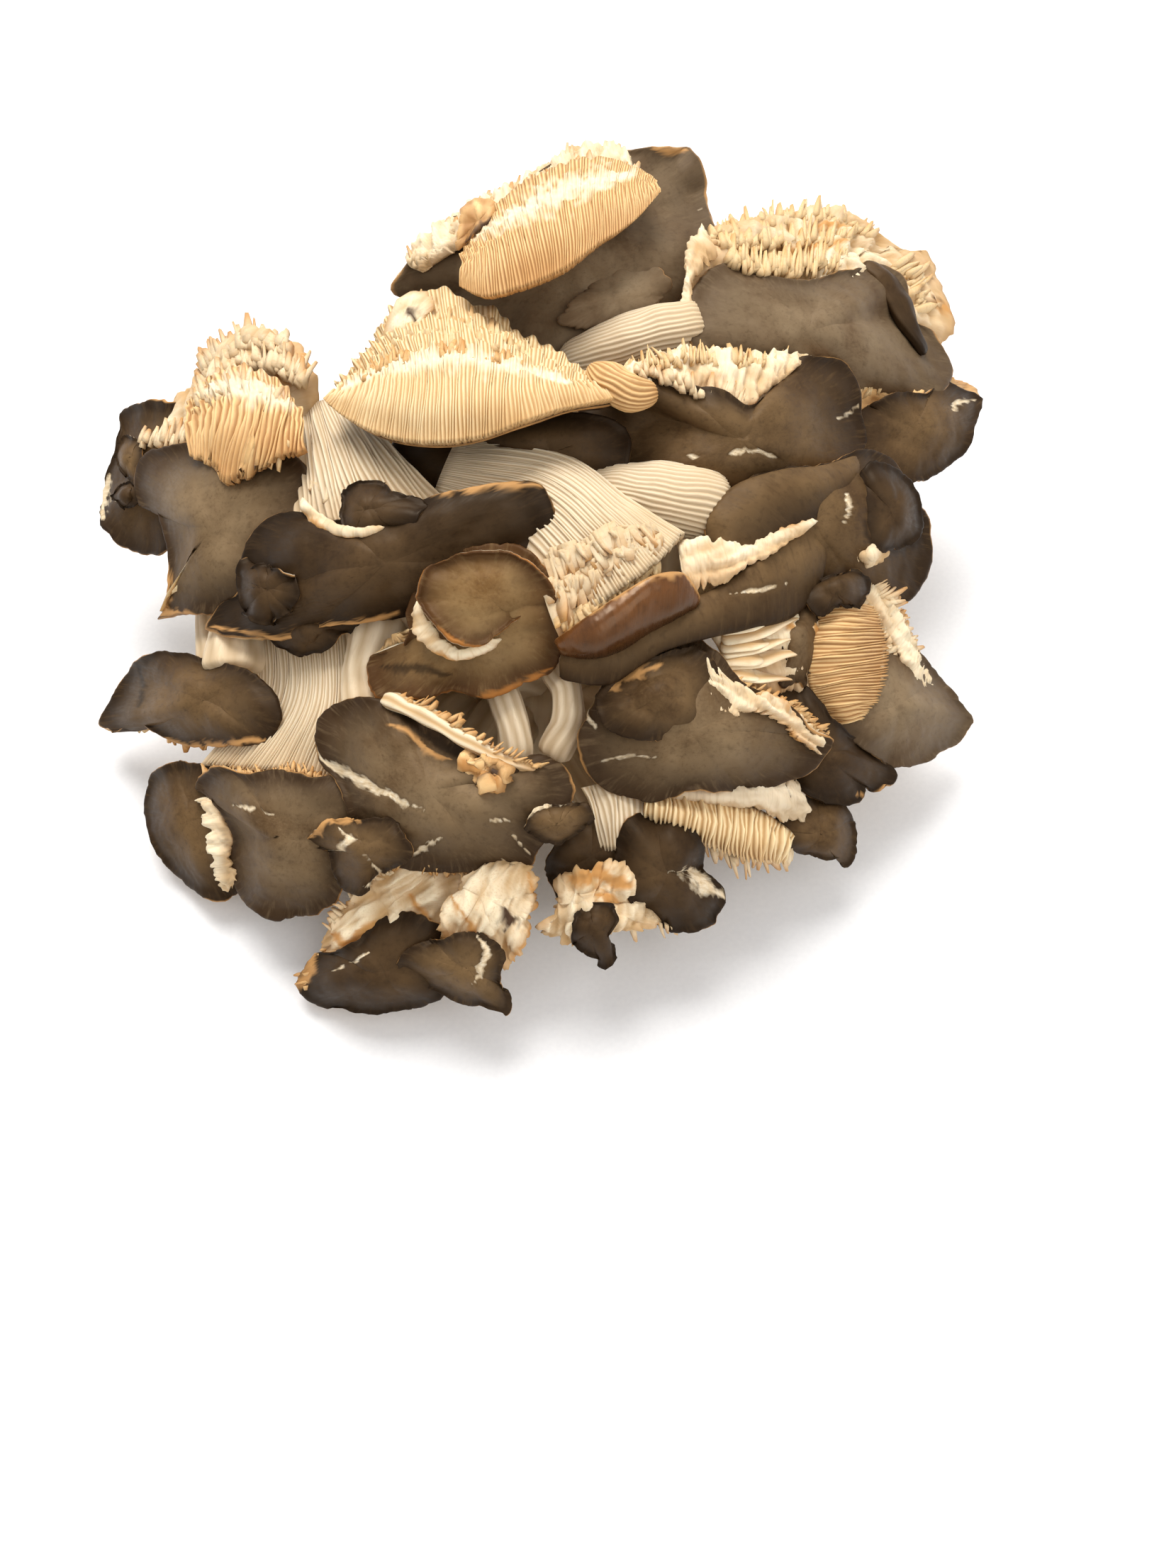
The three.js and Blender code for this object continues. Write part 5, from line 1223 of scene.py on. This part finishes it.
piece("dark_left_gills", [
    (gill_fan(dark_left), gill_cream),
    (fan_bits, flesh_paint),
    (leaf_ribbon(dark_left_crescent, columns=64, rings=8, flesh=0.7, ragged=0.15, rough=0.15),
     flesh_paint),
    (hang_bits, flesh_paint),
    (gill_ribbon(dark_left_fan, count=26, rings=20, deep=0.8), stem_paint),
], ["gills_dark_left"])

# Shaded cap
# A dark cap deep in the cluster behind the central fan, of which little more than a strip shows. It is
# soft flesh under a thin skin, pressed between its neighbours. Its left part is drawn out into the shadowed
# gap below the upturned cap, so that its dark skin there is painted shade.
shaded = {
    "hub": [2, 29, -11], "lift": 3, "seed": 34, "wave": 1.0,
    "rim": [-36, 26, -17, -30, 34, -14, -14, 36, -12, 2, 38, -12, 12, 37, -10, 19.5, 34, -9,
            20, 27.5, -9, 17, 22, -14, 8, 18, -17, -6, 16, -18, -18, 15, -18, -30, 17, -18],
}
piece("shaded_cap", [(skin(shaded, 82, 14), skin_dark)], ["cap_shaded"])

# Left front cap
# A brown cap at the lower left, on a ribbed stem that spreads like a funnel to its upper margin and ends
# there in short tan teeth.
left_front = {
    "hub": [-58, -58, 3], "lift": 6, "wave": 1.0, "seed": 35,
    "rim": [-77.5, -46, -5, -74, -41.2, -3, -67, -43.3, -2, -57, -42.8, -1, -50, -44.3, -2,
            -43, -45.5, -4, -39, -50.5, -5, -41, -59, -6, -44, -66, -6, -46.5, -72.5, -5,
            -54, -76, -5, -62, -75.5, -5, -66.5, -72, -6, -69.5, -65, -6, -69, -57, -5, -72, -50.5, -5],
    "tears": [[0.9, -69, -50.5, -59, -52.8]],
}
left_front_fan = {
    "rows": [[-64, -9, -23, -56, -8, -20, -49, -8, -19, -40, -8, -21],
             [-64, -27, -15, -55, -27, -10, -48, -27, -9, -39, -28, -12],
             [-76, -42, -9, -65, -43, -6, -54, -43.5, -5, -42, -46, -8]],
    "seed": 36,
}
front_comb = comb([-76, -44.5, -4, -67, -44, -3, -57, -43.5, -2, -45, -46, -4],
                  [-76, -41.5, -6, -67, -42, -5, -57, -41.3, -4, -45, -44, -6], 60, thick=0.35,
                  seed=26, least=0.6)
piece("left_front_cap", [(skin(left_front, 178, 32), skin_mid)], ["cap_left_front"])
piece("left_front_gills", [
    (gill_fan(left_front), gill_cream),
    (front_comb, gill_tan),
    (gill_ribbon(left_front_fan, count=40, rings=24, deep=0.5), stem_paint),
], ["gills_left_front"])

# Left edge cap
# A narrow brown cap behind the left front one, with a strip of torn white flesh along the gap between
# them.
left_edge = {
    "hub": [-79, -54, -5], "lift": 4, "seed": 37, "wave": 1.0,
    "rim": [-80.3, -40.5, -9, -87.3, -43.5, -11, -88.6, -52, -11, -86.5, -60.5, -11, -80, -67.3, -11,
            -72.5, -72.5, -11, -66, -68, -13, -64, -58, -14, -67, -48, -13, -74, -42, -10],
}
edge_band = {
    "rows": [[-78, -49, -5, -75.5, -54, -4, -74.5, -60, -4, -73, -67, -6, -72.5, -71.5, -8],
             [-75, -48.7, -4, -73, -54, -2.5, -72, -60, -3, -71, -66, -5, -71, -70, -8],
             [-72, -49, -6, -69.5, -54, -5, -69, -60, -5, -68.5, -65, -7, -69.5, -69, -9]],
    "seed": 38, "grain": -1.3,
}
piece("left_edge_cap", [(skin(left_edge, 118, 22), skin_brown)], ["cap_left_edge"])
piece("left_edge_gills", [
    (gill_fan(left_edge), gill_cream),
    (leaf_ribbon(edge_band, columns=82, rings=12, flesh=1.0, ragged=0.4, rough=0.45), flesh_paint),
], ["gills_left_edge"])

# Left low cap
# A flat brown cap above the left front one, on two short stems side by side, with a tan rim and torn gill
# ends along its lower margin.
left_low = {
    "hub": [-76, -27, -3], "lift": 5, "wave": 1.0, "seed": 38,
    "rim": [-90, -17, -11, -82, -16.3, -9, -74, -18.7, -8, -66, -20.7, -7, -62, -23.7, -7,
            -59.3, -29, -7, -60.3, -35, -8, -69, -36.5, -8, -80, -36.5, -10, -86, -34.5, -11,
            -90, -33, -12, -94.5, -34, -14, -99.3, -32.7, -16, -97, -27, -16, -93, -20.5, -13],
    "darks": [[1.2, -90, -30.5, -88.5, -24, -90, -18]],
    "tans": [[1.5, -88, -33.5, -80, -36.5, -72, -36, -62, -35]],
}
left_low_stems = [rod([-66, -6, -21, -68, -14, -16, -69, -22, -12], [7, 7, 8]),
                  rod([-74, -5, -24, -74, -12, -19, -73, -20, -13], [4, 4, 5])]
left_low_bits = comb([-84, -34, -10, -80, -35, -9, -73, -35.5, -8],
                     [-85, -37, -11, -80, -38.5, -10, -73, -38, -9], 10, thick=1.3, seed=27)
piece("left_low_cap", [(skin(left_low, 148, 28), skin_brown)], ["cap_left_low"])
piece("left_low_gills", [
    (gill_fan(left_low), gill_cream),
    (left_low_stems[0], stem_paint),
    (left_low_stems[1], stem_paint),
    (left_low_bits, gill_tan),
], ["gills_left_low"])

# Left tongue
# A lump of tan gills that ends in a hanging tongue, torn across its top so that broken gills and white
# flesh stand up there.
left_tongue = {
    "rows": [[-79, 39, -6, -74, 45, -7, -67, 47, -7, -60, 44, -7, -55, 37.5, -7],
             [-79, 33, -3, -73, 37, 0, -66, 38, 2, -60, 36, 1, -54, 33, -4],
             [-77.5, 27.5, -4, -74, 25, -1, -69.5, 20.5, 0, -62, 25, -1, -52.5, 28.5, -4]],
    "seed": 39, "broken": 0.8, "tears": [[5.0, -77, 41, -70, 43, -62, 41, -57, 38]],
}
tongue_bits = [comb([-77, 38, -2, -71, 41, 0, -64, 41, 0, -58, 37, -1],
                    [-79, 44, -5, -73, 48.5, -5, -64, 48.5, -5, -56, 42, -4], 30, thick=0.9, deep=1.8,
                    seed=28),
               comb([-76, 33, 0, -70, 35, 2, -63, 35, 2, -57, 32, 0],
                    [-76, 26.5, -1, -71, 25, 1, -64, 25.5, 1, -57, 26, -1], 20, thick=0.8, deep=1.6,
                    seed=29)]
piece("left_tongue_gills", [
    (gill_ribbon(left_tongue, count=30, rings=16, deep=1.0, teeth=4), gill_tan),
    (tongue_bits[0], flesh_paint),
    (tongue_bits[1], gill_cream),
], ["gills_left_tongue"])

# Left cap
# A brown cap below the tongue, with an orange-cream margin at its lower left, on a stem from the base. Its
# gills face down and hardly show.
left = {
    "hub": [-74, 12, -1], "lift": 6, "wave": 1.3, "seed": 40,
    "rim": [-91, 25, -12, -90.5, 18, -12, -86, 14, -10, -83.6, 8, -9, -83.3, 0, -9, -84, -6, -9,
            -86, -8.7, -10, -78, -7.5, -9, -73, -7, -10, -64, -4, -12, -58, 4, -12, -52, 14, -12,
            -52, 24, -11, -60, 30, -9, -70, 33, -8, -80, 31, -7, -88, 29, -10],
    "tans": [[2.4, -83.5, 8, -83.3, 0, -84.5, -7, -77, -7]],
}
piece("left_cap", [(skin(left, 148, 28), skin_mid)], ["cap_left"])
piece("left_gills", [(gill_fan(left), gill_cream)], ["gills_left"])

# Left back cap
# A brown cap at the far left with two small lobes on it, behind a fluffy mass of torn flesh with rows of
# broken gill ends.
left_back = {
    "hub": [-88, 24, -17], "lift": 3, "seed": 41, "wave": 1.2,
    "rim": [-95, 37, -19, -90, 40.3, -17, -80, 39.7, -16, -76, 34, -19, -80, 25, -22, -82, 14, -24,
            -84, 6.3, -23, -92, 6.3, -22, -98.8, 12.3, -20, -98, 22, -19, -95.5, 30, -18],
    "tears": [[2.6, -98, 13, -98, 18, -96.5, 24]],
}
left_back_lobes = [
    {
        "hub": [-92.5, 27, -11], "lift": 1, "wave": 0.5, "seed": 42,
        "rim": [-92.5, 32.8, -13, -94.5, 31, -13, -95.4, 28, -14, -94.5, 25, -13, -92, 23, -13,
                -90, 21, -13, -89.3, 25, -12, -89.6, 30, -12],
    },
    {
        "hub": [-93, 19, -12], "lift": 1, "wave": 0.4, "seed": 43,
        "rim": [-96.3, 18.5, -14, -95, 20.3, -14, -92, 22, -14, -89.5, 20.5, -14, -90, 18.2, -14,
                -92, 17, -14, -94.5, 16.9, -14],
    },
]
left_back_flesh = {
    "hub": [-73, 36, -17], "lift": 5, "seed": 42, "ragged": 2.2, "wave": 1.6,
    "rim": [-96, 26, -22, -90, 36, -19, -84, 42, -17, -77.5, 47, -15, -73, 53.5, -15, -66, 58.5, -16,
            -59, 56, -16, -53.5, 53.5, -16, -50, 48, -17, -50, 38, -20, -62, 24, -25, -78, 14, -28,
            -88, 10, -28, -95, 14, -26],
    "tans": [[3.5, -60, 49, -56, 44], [3.0, -54, 51, -51, 47]], "darks": [[2.5, -58, 33, -56, 29]],
}
left_teeth = [comb([-76, 44, -11, -72, 49, -11, -66, 53, -12, -58, 51, -12],
                   [-79, 48, -16, -74, 54.5, -16, -66, 59, -17, -56, 55, -16], 44, thick=1.5,
                   deep=1.8, seed=30),
              comb([-74, 42, -8, -68, 47, -9, -60, 47, -9, -54, 44, -10],
                   [-76, 49, -10, -69, 54, -12, -59, 53, -12, -51, 50, -12], 44, thick=1.5, deep=1.8,
                   seed=31),
              comb([-92, 30, -11, -86, 30, -9, -80, 31, -8],
                   [-91, 34, -12, -85, 36, -11, -79, 38, -10], 16, thick=1.0, seed=32)]
piece("left_back_cap", [
    (skin(left_back, 118, 22), skin_brown),
    (skin(left_back_lobes[0], 60, 10), skin_brown),
    (skin(left_back_lobes[1], 60, 10), skin_dark),
], ["cap_left_back"])
piece("left_back_gills", [
    (torn_flap(left_back_flesh), flesh_paint),
] + [(teeth, flesh_paint) for teeth in left_teeth], ["gills_left_back"])

# Crown cap
# The grey cap at the top of the cluster. A lapel of it is folded forward and shows its tan gills, its
# upper edge is ragged cream flesh, and a thin second layer of skin lies on its face.
lapel = {
    "rows": [[-17.5, 73, -6, -13, 79, -5, -7, 86, -4, 3, 92, -3, 13, 94, -3, 20, 92.5, -3,
              25, 88.5, -3],
             [-17.5, 69.5, -3, -12.5, 72, 1, -5, 76.5, 4, 4, 80.5, 6, 12, 84.5, 6, 19, 87, 4,
              25.3, 88, -1],
             [-17.3, 66, -5, -12, 63.3, -2, -3, 65.5, 1, 5, 69, 2, 12, 74.5, 3, 19, 79.5, 2,
              25, 86.5, -1]],
    "seed": 43, "broken": 0.5, "tears": [[5.0, -14, 76, -6, 81, 4, 86, 14, 89, 20, 90]],
}
lapel_tab = {
    "hub": [-14.5, 81, -1], "lift": 0.8, "wave": 0.6, "seed": 49, "ragged": 0.8,
    "rim": [-19.5, 74, -5, -19, 80, -3.5, -18, 85, -3, -13.5, 86.5, -3, -10, 85, -2, -11, 81, -1.5,
            -14.5, 78.5, -2, -17, 76, -3.5],
    "darks": [[2.0, -17, 76, -13.5, 79.5, -11, 81.5]],
}
crown_teeth = [comb([-29, 71, -12, -22, 77, -10, -14, 82, -8, -2, 88, -6, 8, 93.5, -6, 20, 93, -7],
                    [-30, 74.5, -15, -22, 81, -13, -13, 86.5, -11, -1, 93, -10, 8, 98.5, -9,
                     20, 97.5, -9], 70, thick=1.5, deep=1.6, seed=33),
               comb([-14, 78, -4, -5, 83.5, -3, 5, 88, -2, 14, 90.5, -2, 21, 90, -2],
                    [-15, 83, -6, -6, 88.5, -5, 4, 93.5, -4, 14, 95, -4, 22, 93, -4], 44, thick=0.9,
                    deep=1.8, seed=34)]
piece("lapel_gills", [
    (gill_ribbon(lapel, count=84, rings=22, deep=0.45), gill_tan),
    (crown_teeth[1], flesh_paint),
    (torn_flap(lapel_tab, columns=60, rings=9, thick=0.9, rough=0.25), gill_tan),
], ["gills_lapel"])
skin_pale = skin_paint("skin_pale", colour(88, 68, 48), colour(119, 98, 74), colour(148, 128, 101),
                       seed=9.0, dusk=0.5)
crown = {
    "hub": [6, 74, -11], "lift": 3, "wave": 1.6, "lobes": 6, "seed": 44,
    "rim": [-34.5, 66, -17, -29, 73.5, -15, -20, 81.5, -13, -11, 86, -11, 0, 92.5, -9, 8, 98, -9,
            18, 97.2, -9, 26, 98, -10, 33, 97.3, -13, 36.8, 91, -13, 37.8, 83, -14, 40, 75, -17,
            38, 64, -20, 31, 55, -24, 18, 50, -27, 4, 46, -28, -8, 48, -29, -18, 55, -28, -26, 62, -23],
    "tears": [[0.7, 32, 81.3, 37, 82.5]], "tans": [[3.0, -18, 82, -14, 78], [2.0, 24, 97, 33, 96]],
    "darks": [[3.4, -15, 79, -17, 76, -18, 72]],
}
crown_layer = {
    "hub": [17, 64, -14.4], "lift": 0.6, "wave": 0.4, "seed": 48, "ragged": 1.6, "flesh": 0.8,
    "roll": 0,
    "rim": [3, 58, -19.5, 9, 56, -20, 14, 56.5, -19.5, 20, 57.5, -18.5, 25, 60.5, -17.5,
            29.5, 66, -16, 28, 70, -15, 21, 72, -14, 12, 69, -14.5, 6, 63, -16.5],
}
crown_edge = {
    "rows": [[-31, 73, -16, -22, 80.5, -14, -11, 86.3, -12, 0, 92.7, -10, 8, 97.8, -9, 20, 97.3, -9],
             [-30, 71, -13, -20, 77.5, -10, -10, 83.5, -8, 2, 89, -6, 10, 93, -6, 20, 94, -7],
             [-27, 69.5, -14, -17.5, 75.5, -9, -9, 79.5, -7, 3, 85, -5, 12, 89, -5, 20, 91.5, -6]],
    "seed": 45,
}
piece("crown_cap", [(skin(crown, 180, 30), skin_grey), (skin(crown_layer, 96, 12), skin_pale)],
      ["cap_crown"])
piece("crown_gills", [
    (gill_fan(crown), gill_cream),
    (crown_teeth[0], flesh_paint),
    (leaf_ribbon(crown_edge, columns=128, rings=12, flesh=1.8, rough=0.5), flesh_paint),
], ["gills_crown"])

# Upper right cap
# A wide grey cap on a fluted stem, rolled and near black at its right, with a torn pale rim at its left
# and rows of broken gill ends above its face.
upper_right = {
    "hub": [60, 56, -3], "lift": 5, "wave": 1.2, "seed": 45,
    "rim": [33, 53, -13, 32, 62, -10, 35, 68, -8, 42, 71.5, -7, 50, 68, -6, 60, 67.3, -6,
            68, 69.8, -6, 76, 70.5, -8, 81, 68, -8, 82.7, 60, -8, 88.5, 55, -9, 92, 46, -11,
            86, 40, -15, 72, 39, -17, 58, 42, -18, 44, 45, -18],
    "tans": [[1.6, 42, 71, 50, 68.5, 60, 67.8, 68, 69.5]],
}
upper_back = {
    "hub": [62, 70, -9], "lift": 3, "wave": 1.6, "seed": 46, "ragged": 1.8,
    "rim": [33, 62, -13, 33.5, 76, -9, 37, 79.5, -9, 44, 81.5, -10, 52, 83.7, -12, 63, 85, -13,
            72, 82, -14, 77, 78, -14, 82, 74.5, -15, 87.5, 74, -16, 91, 64, -16, 93, 57, -16,
            88, 52, -15, 75, 55, -14, 50, 58, -14],
    "tans": [[2.6, 44, 75, 56, 73.5, 68, 75], [2.0, 60, 79, 70, 79], [2.4, 86, 62.5, 92, 60]],
    "darks": [[1.0, 84, 62, 90, 62.5]],
}
upper_teeth = [comb([38, 77, -7, 46, 79, -8, 55, 80.5, -9, 64, 81, -10, 73, 77, -10],
                    [37, 80.5, -9, 45, 83, -11, 55, 85.3, -12, 65, 85.5, -13, 77, 80.3, -13], 60,
                    thick=1.3, deep=1.6, seed=35),
               comb([42, 71, -5, 50, 69.5, -4, 59, 68.8, -4, 68, 71, -5],
                    [42, 77.5, -6, 50, 76.5, -6, 59.5, 76.5, -6, 69, 77, -7], 52, thick=0.8, deep=1.8,
                    seed=36, least=0.5),
               comb([40, 75, -6, 49, 75, -6, 59, 75.5, -7, 69, 76, -7],
                    [39, 80, -8, 48, 80.5, -8, 59, 81.5, -9, 71, 80.5, -9], 52, thick=1.1, deep=1.8,
                    seed=37),
               comb([78, 70, -8, 82.5, 66, -9, 84.5, 60, -10],
                    [84, 74.5, -12, 88.5, 69.5, -13, 90.5, 63, -13], 18, thick=1.2, deep=2.0, seed=38)]
upper_roll = rod([72, 71.5, -7, 76.5, 68.5, -5, 80, 63, -5, 83, 57, -5, 86.5, 51, -7],
                 [2.0, 3.8, 3.9, 3.0, 2.6], ribs=5, deep=0.05, flat=0.55)
upper_strip = {
    "rows": [[36, 80, -8, 33, 76, -7, 31.8, 71, -7, 31.8, 65, -9, 31, 58, -11, 34, 53.5, -13],
             [37.5, 78, -6, 34.5, 74.5, -5, 33.2, 71, -6, 33, 65, -8, 32.3, 58, -10, 35.5, 53.7, -12],
             [41, 75, -6, 38, 70, -5, 34.8, 68, -6, 34, 63, -8, 33.7, 58, -10, 37, 54, -12]],
    "seed": 47,
}
upper_right_stem = rod([4, 48, -26, 14, 52.5, -18, 24, 56, -13, 36, 58, -11], [5, 5.5, 6, 6.5],
                       around=128, steps=20, ribs=30, deep=0.03)
piece("upper_right_cap", [(skin(upper_right, 178, 32), skin_grey), (upper_roll, skin_dark)],
      ["cap_upper_right"])
piece("upper_right_gills", [
    (torn_flap(upper_back), flesh_paint),
    (upper_right_stem, stem_paint),
    (leaf_ribbon(upper_strip, columns=98, rings=10, flesh=1.4, ragged=0.3, rough=0.3), flesh_paint),
] + [(teeth, gill_cream) for teeth in upper_teeth], ["gills_upper_right"])

# Far right cap
# A brown cap behind the right side, with a band of torn gilled flesh along its upper margin. Its stem runs
# down behind its neighbours to the base.
far_right = {
    "hub": [84, 34, -9], "lift": 3, "seed": 46, "wave": 1.4,
    "rim": [68, 30, -16, 71, 37, -13, 78, 42, -11, 85, 42.5, -10, 90, 44.5, -11, 98.7, 40.3, -14,
            97.2, 34.5, -14, 95.2, 30, -14, 89, 24.3, -15, 82, 21, -16, 75, 22, -16],
    "tears": [[1.4, 91.5, 36.3, 91.8, 39.5, 97, 40.2]],
}
far_back = {
    "hub": [82, 38, -14], "lift": 2, "seed": 47, "wave": 1.2, "ragged": 1.8,
    "rim": [66, 36, -18, 68, 44, -16, 76, 46, -15, 84, 46.3, -14, 92, 46.5, -15, 98.5, 43, -17,
            97, 36, -18, 90, 30, -19, 76, 28, -19],
    "tans": [[2.4, 72, 44, 82, 45, 92, 45]],
}
far_teeth = comb([70, 41, -12, 77, 43, -11, 84, 43, -11, 92, 43.5, -12],
                 [70.5, 45.5, -14, 77, 47.5, -14, 85, 47, -14, 93, 46.5, -15], 32, thick=0.7,
                 deep=1.8, seed=39)
piece("far_right_cap", [(skin(far_right, 126, 22), skin_brown)], ["cap_far_right"])
piece("far_right_gills", [
    (torn_flap(far_back, columns=120, rings=12), gill_tan),
    (far_teeth, gill_cream),
], ["gills_far_right"])

# Caps round the back
# Three broad brown caps that the photograph doesn't show, which grow backwards from the base, each on its
# own stem and with its gills below.


def back_fan(at, way, size, tall, s, r, inset=0.0):
    """An oval cap facing back: rings round a centre, with a lobed outline, domed by 7 mm, rippled."""
    out = unit(np.array(way))
    side = unit(np.cross([0, 0, 1], out))
    high = np.cross(out, side)
    angle = 2 * np.pi * s
    reach = (size * (1 + 0.1 * np.sin(3 * angle + 1) + 0.05 * np.sin(7 * angle)) - inset
             - 0.8 * jag(s, 90, int(size), 2)) * r
    height = 7 * (1 - r * r) - 3 * r ** 6 + 0.9 * r * r * np.sin(5 * angle)
    place = (at + side * (reach * np.cos(angle))[..., None]
             + high * (tall * reach * np.sin(angle))[..., None] + out * height[..., None])
    return place + out * (0.7 * swell(place, 17, 4) * ease(r, 0, 0.4))[..., None], out


def back_cap(*shape):
    """The skin and the gill layer of a cap round the back."""
    columns, rings, gills = 110, 20, 90
    s, r = np.meshgrid(np.arange(columns) / columns, 1 - (1 - np.linspace(0, 1, rings + 1)) ** 1.4)
    grid, out = back_fan(*shape, s, r)
    n = normals(grid, True, out)
    edge = np.sqrt(np.clip(1 - np.clip((r - 0.95) / 0.05, 0, 1) ** 2, 0.02, 1))
    top = grid + n * (0.3 + 2.4 * (1 - 0.5 * r) * edge + 0.07 * swell(grid, 2.6, 6))[..., None]
    cap = shell(top, grid + n * 0.1, True, marked({}, grid, s, r, True))
    places, crest, number = gill_steps(gills)
    r = np.linspace(0, 1, 5)[:, None]
    s = places + 0.002 * np.sin(8 * r + 0.7 * number)
    r = np.broadcast_to(r, s.shape)
    grid, out = back_fan(*shape, s, r, inset=1.3)
    n = normals(grid, True, out)
    lift = gill_height(crest, number, r, 1.3, 7)
    marks = marked({}, grid, s, r, True, ridge=(np.broadcast_to(crest, s.shape), 0.5))
    return cap, shell(grid - n * (1.5 + lift)[..., None], grid - n * 0.3, True, marks)


BACK_CAPS = (("back_left", skin_brown, [-56, 34, 42], [-0.62, 0.58, 0.52], 30, 0.72),
             ("back", skin_mid, [-8, 58, 54], [-0.05, 0.86, 0.5], 34, 0.62),
             ("back_right", skin_brown, [60, 48, 38], [0.5, 0.76, 0.42], 26, 0.74))
for name, look, *shape in BACK_CAPS:
    cap, gills = back_cap(*shape)
    piece(name + "_cap", [(cap, look)], ["cap_" + name])
    piece(name + "_gills", [(gills, gill_cream)], ["gills_" + name])

# Base
# The stems run together into one lumpy cream butt, cut off flat from the block that it grew on. Each widens
# upwards to the hub of its cap.
FOOT_HEIGHT = 17.0


def root_stem(top, foot, sag, radii, shares):
    """A stem down to its foot in the butt: its middle hangs by sag, and shares place its upper points."""
    middle = (top + foot) / 2 - [0, 0, sag]
    path = [top + (middle - top) * share for share in shares] + [middle, foot]
    return rod(path, radii, around=28, steps=22, raw=True), stem_paint


ROOTS = ((front["hub"], [-7, -16]), (lowest["hub"], [-12, -22]), (low_right["hub"], [6, -20]),
         (front_right["hub"], [12, -14]), ([-13, -8, 4], [-4, -5]), (curled["hub"], [16, 2]),
         (right_low["hub"], [18, -8]), (centre_right["hub"], [11, 8]), (dark_left["hub"], [-14, 2]),
         (left["hub"], [-18, 4]), (left_low["hub"], [-18, -6]), (left_front["hub"], [-15, -12]),
         (crown["hub"], [-2, 16]), (upper_right["hub"], [8, 15]), (far_right["hub"], [17, 9]))
stems = []
for hub, (x, y) in ROOTS:
    top = seen(np.subtract(hub, [0, 0, 3]))[0]
    foot = np.array([x, y, FOOT_HEIGHT])
    stems.append(root_stem(top, foot, 0.1 * np.linalg.norm(top - foot), [5, 10, 7.5, 9], (0.08, 0.45)))
for _, _, at, *_ in BACK_CAPS:
    foot = np.array([0.12 * at[0], 0.2 * at[1], FOOT_HEIGHT])
    stems.append(root_stem(np.array(at, float), foot, 5, [5, 9, 7, 9], (0.1, 0.4)))
between = [rod([-11, -22, -14, -8, -28, -10, -6, -36, -9, -7, -44, -12], [3.4, 3.5, 3.6, 4]),
           rod([1, -18, -14, 5.5, -25, -10, 5.5, -32, -10, 2, -40, -12], [3, 3.2, 3.4, 4])]


def butt():
    """The cut base: a lobed ring 31 mm in radius, drawn in towards its top, with its foot as the pole."""
    wide, long, columns, rings = 31, 26.7, 112, 25
    s, r = np.meshgrid(np.arange(columns) / columns, np.linspace(0, 1, rings + 1))
    angle = 2 * np.pi * s
    z = np.interp(r, [0, 0.3, 0.42, 0.7, 1], [0, 0, 3, 14, 25])
    size = np.interp(r, [0, 0.3, 0.36, 0.42, 0.7, 1], [0, 0.9, 0.96, 1, 0.96, 0.7])
    lobes = 1 + 0.07 * np.sin(3 * angle + z / 12) + 0.05 * np.sin(7 * angle)
    grid = np.stack([wide * size * lobes * np.cos(angle), long * size * lobes * np.sin(angle), z], -1)
    bumps = 0.5 * swell(grid, 9, 2) * ease(z, 2, 6)
    grid = grid + bumps[..., None] * np.stack([np.cos(angle), np.sin(angle), 0 * z], -1)
    inner = grid * [0.6, 0.6, 1] + np.array([0, 0, 1.5])
    marks = marked({}, grid, s, r, True, ridge=(0.7 + 0.3 * np.sin(40 * angle), 0.5))
    return shell(grid, inner, True, marks)


piece("base", [(butt(), stem_paint)] + stems + [(stem, stem_paint) for stem in between], ["base_clump"])

# Floor
# The pale paper sheet that the cluster lies on, which runs out of the picture on all sides.
# It lies at the height of the cut end.
floor_mesh = bpy.data.meshes.new("floor")
floor_mesh.from_pydata([(-3, -3, 0), (3, -3, 0), (3, 3, 0), (-3, 3, 0)], [], [(0, 1, 2, 3)])
floor = bpy.data.objects.new("floor", floor_mesh)
bpy.context.collection.objects.link(floor)
floor_paint, floor_tree, floor_add, floor_shader = paint("floor_paper")
grain = floor_add("TexNoise", (0, floor_add("TexCoord")[3]), Scale=900.0, Detail=4.0)[0]
tone = mixer(floor_add, grain, colour(230, 230, 232), colour(241, 241, 242))
floor_tree.links.new(tone, floor_shader.inputs["Base Color"])
floor_shader.inputs["Roughness"].default_value = 0.6
floor_mesh.materials.append(floor_paint)

# Light
# A wide soft lamp above and behind the cluster, a weaker one at its front right, and an even pale room.
# Nothing casts a hard shadow.


def lamp(name, place, size, power, tint):
    """A square soft light at a place, turned towards the cluster."""
    light = bpy.data.lights.new(name, "AREA")
    light.size, light.energy, light.color = size, power, tint
    thing = bpy.data.objects.new(name, light)
    thing.location = place
    aim = -np.array(place) + np.array([0, 0, 0.04])
    pitch = math.atan2(math.hypot(aim[0], aim[1]), -aim[2])
    thing.rotation_euler = (pitch, 0, math.atan2(aim[1], aim[0]) - math.pi / 2)
    bpy.context.collection.objects.link(thing)


lamp("key", (-0.12, 0.45, 0.95), 0.6, 11.5, (1.0, 0.98, 0.95))
lamp("fill", (0.5, -0.5, 0.8), 0.8, 3.5, (1.0, 0.99, 0.97))
world = bpy.data.worlds.new("soft_room")
world.use_nodes = True
world.node_tree.nodes["Background"].inputs[0].default_value = (1.0, 0.99, 0.98, 1)
world.node_tree.nodes["Background"].inputs[1].default_value = 0.7
bpy.context.scene.world = world
bpy.context.scene.view_settings.view_transform = "Standard"
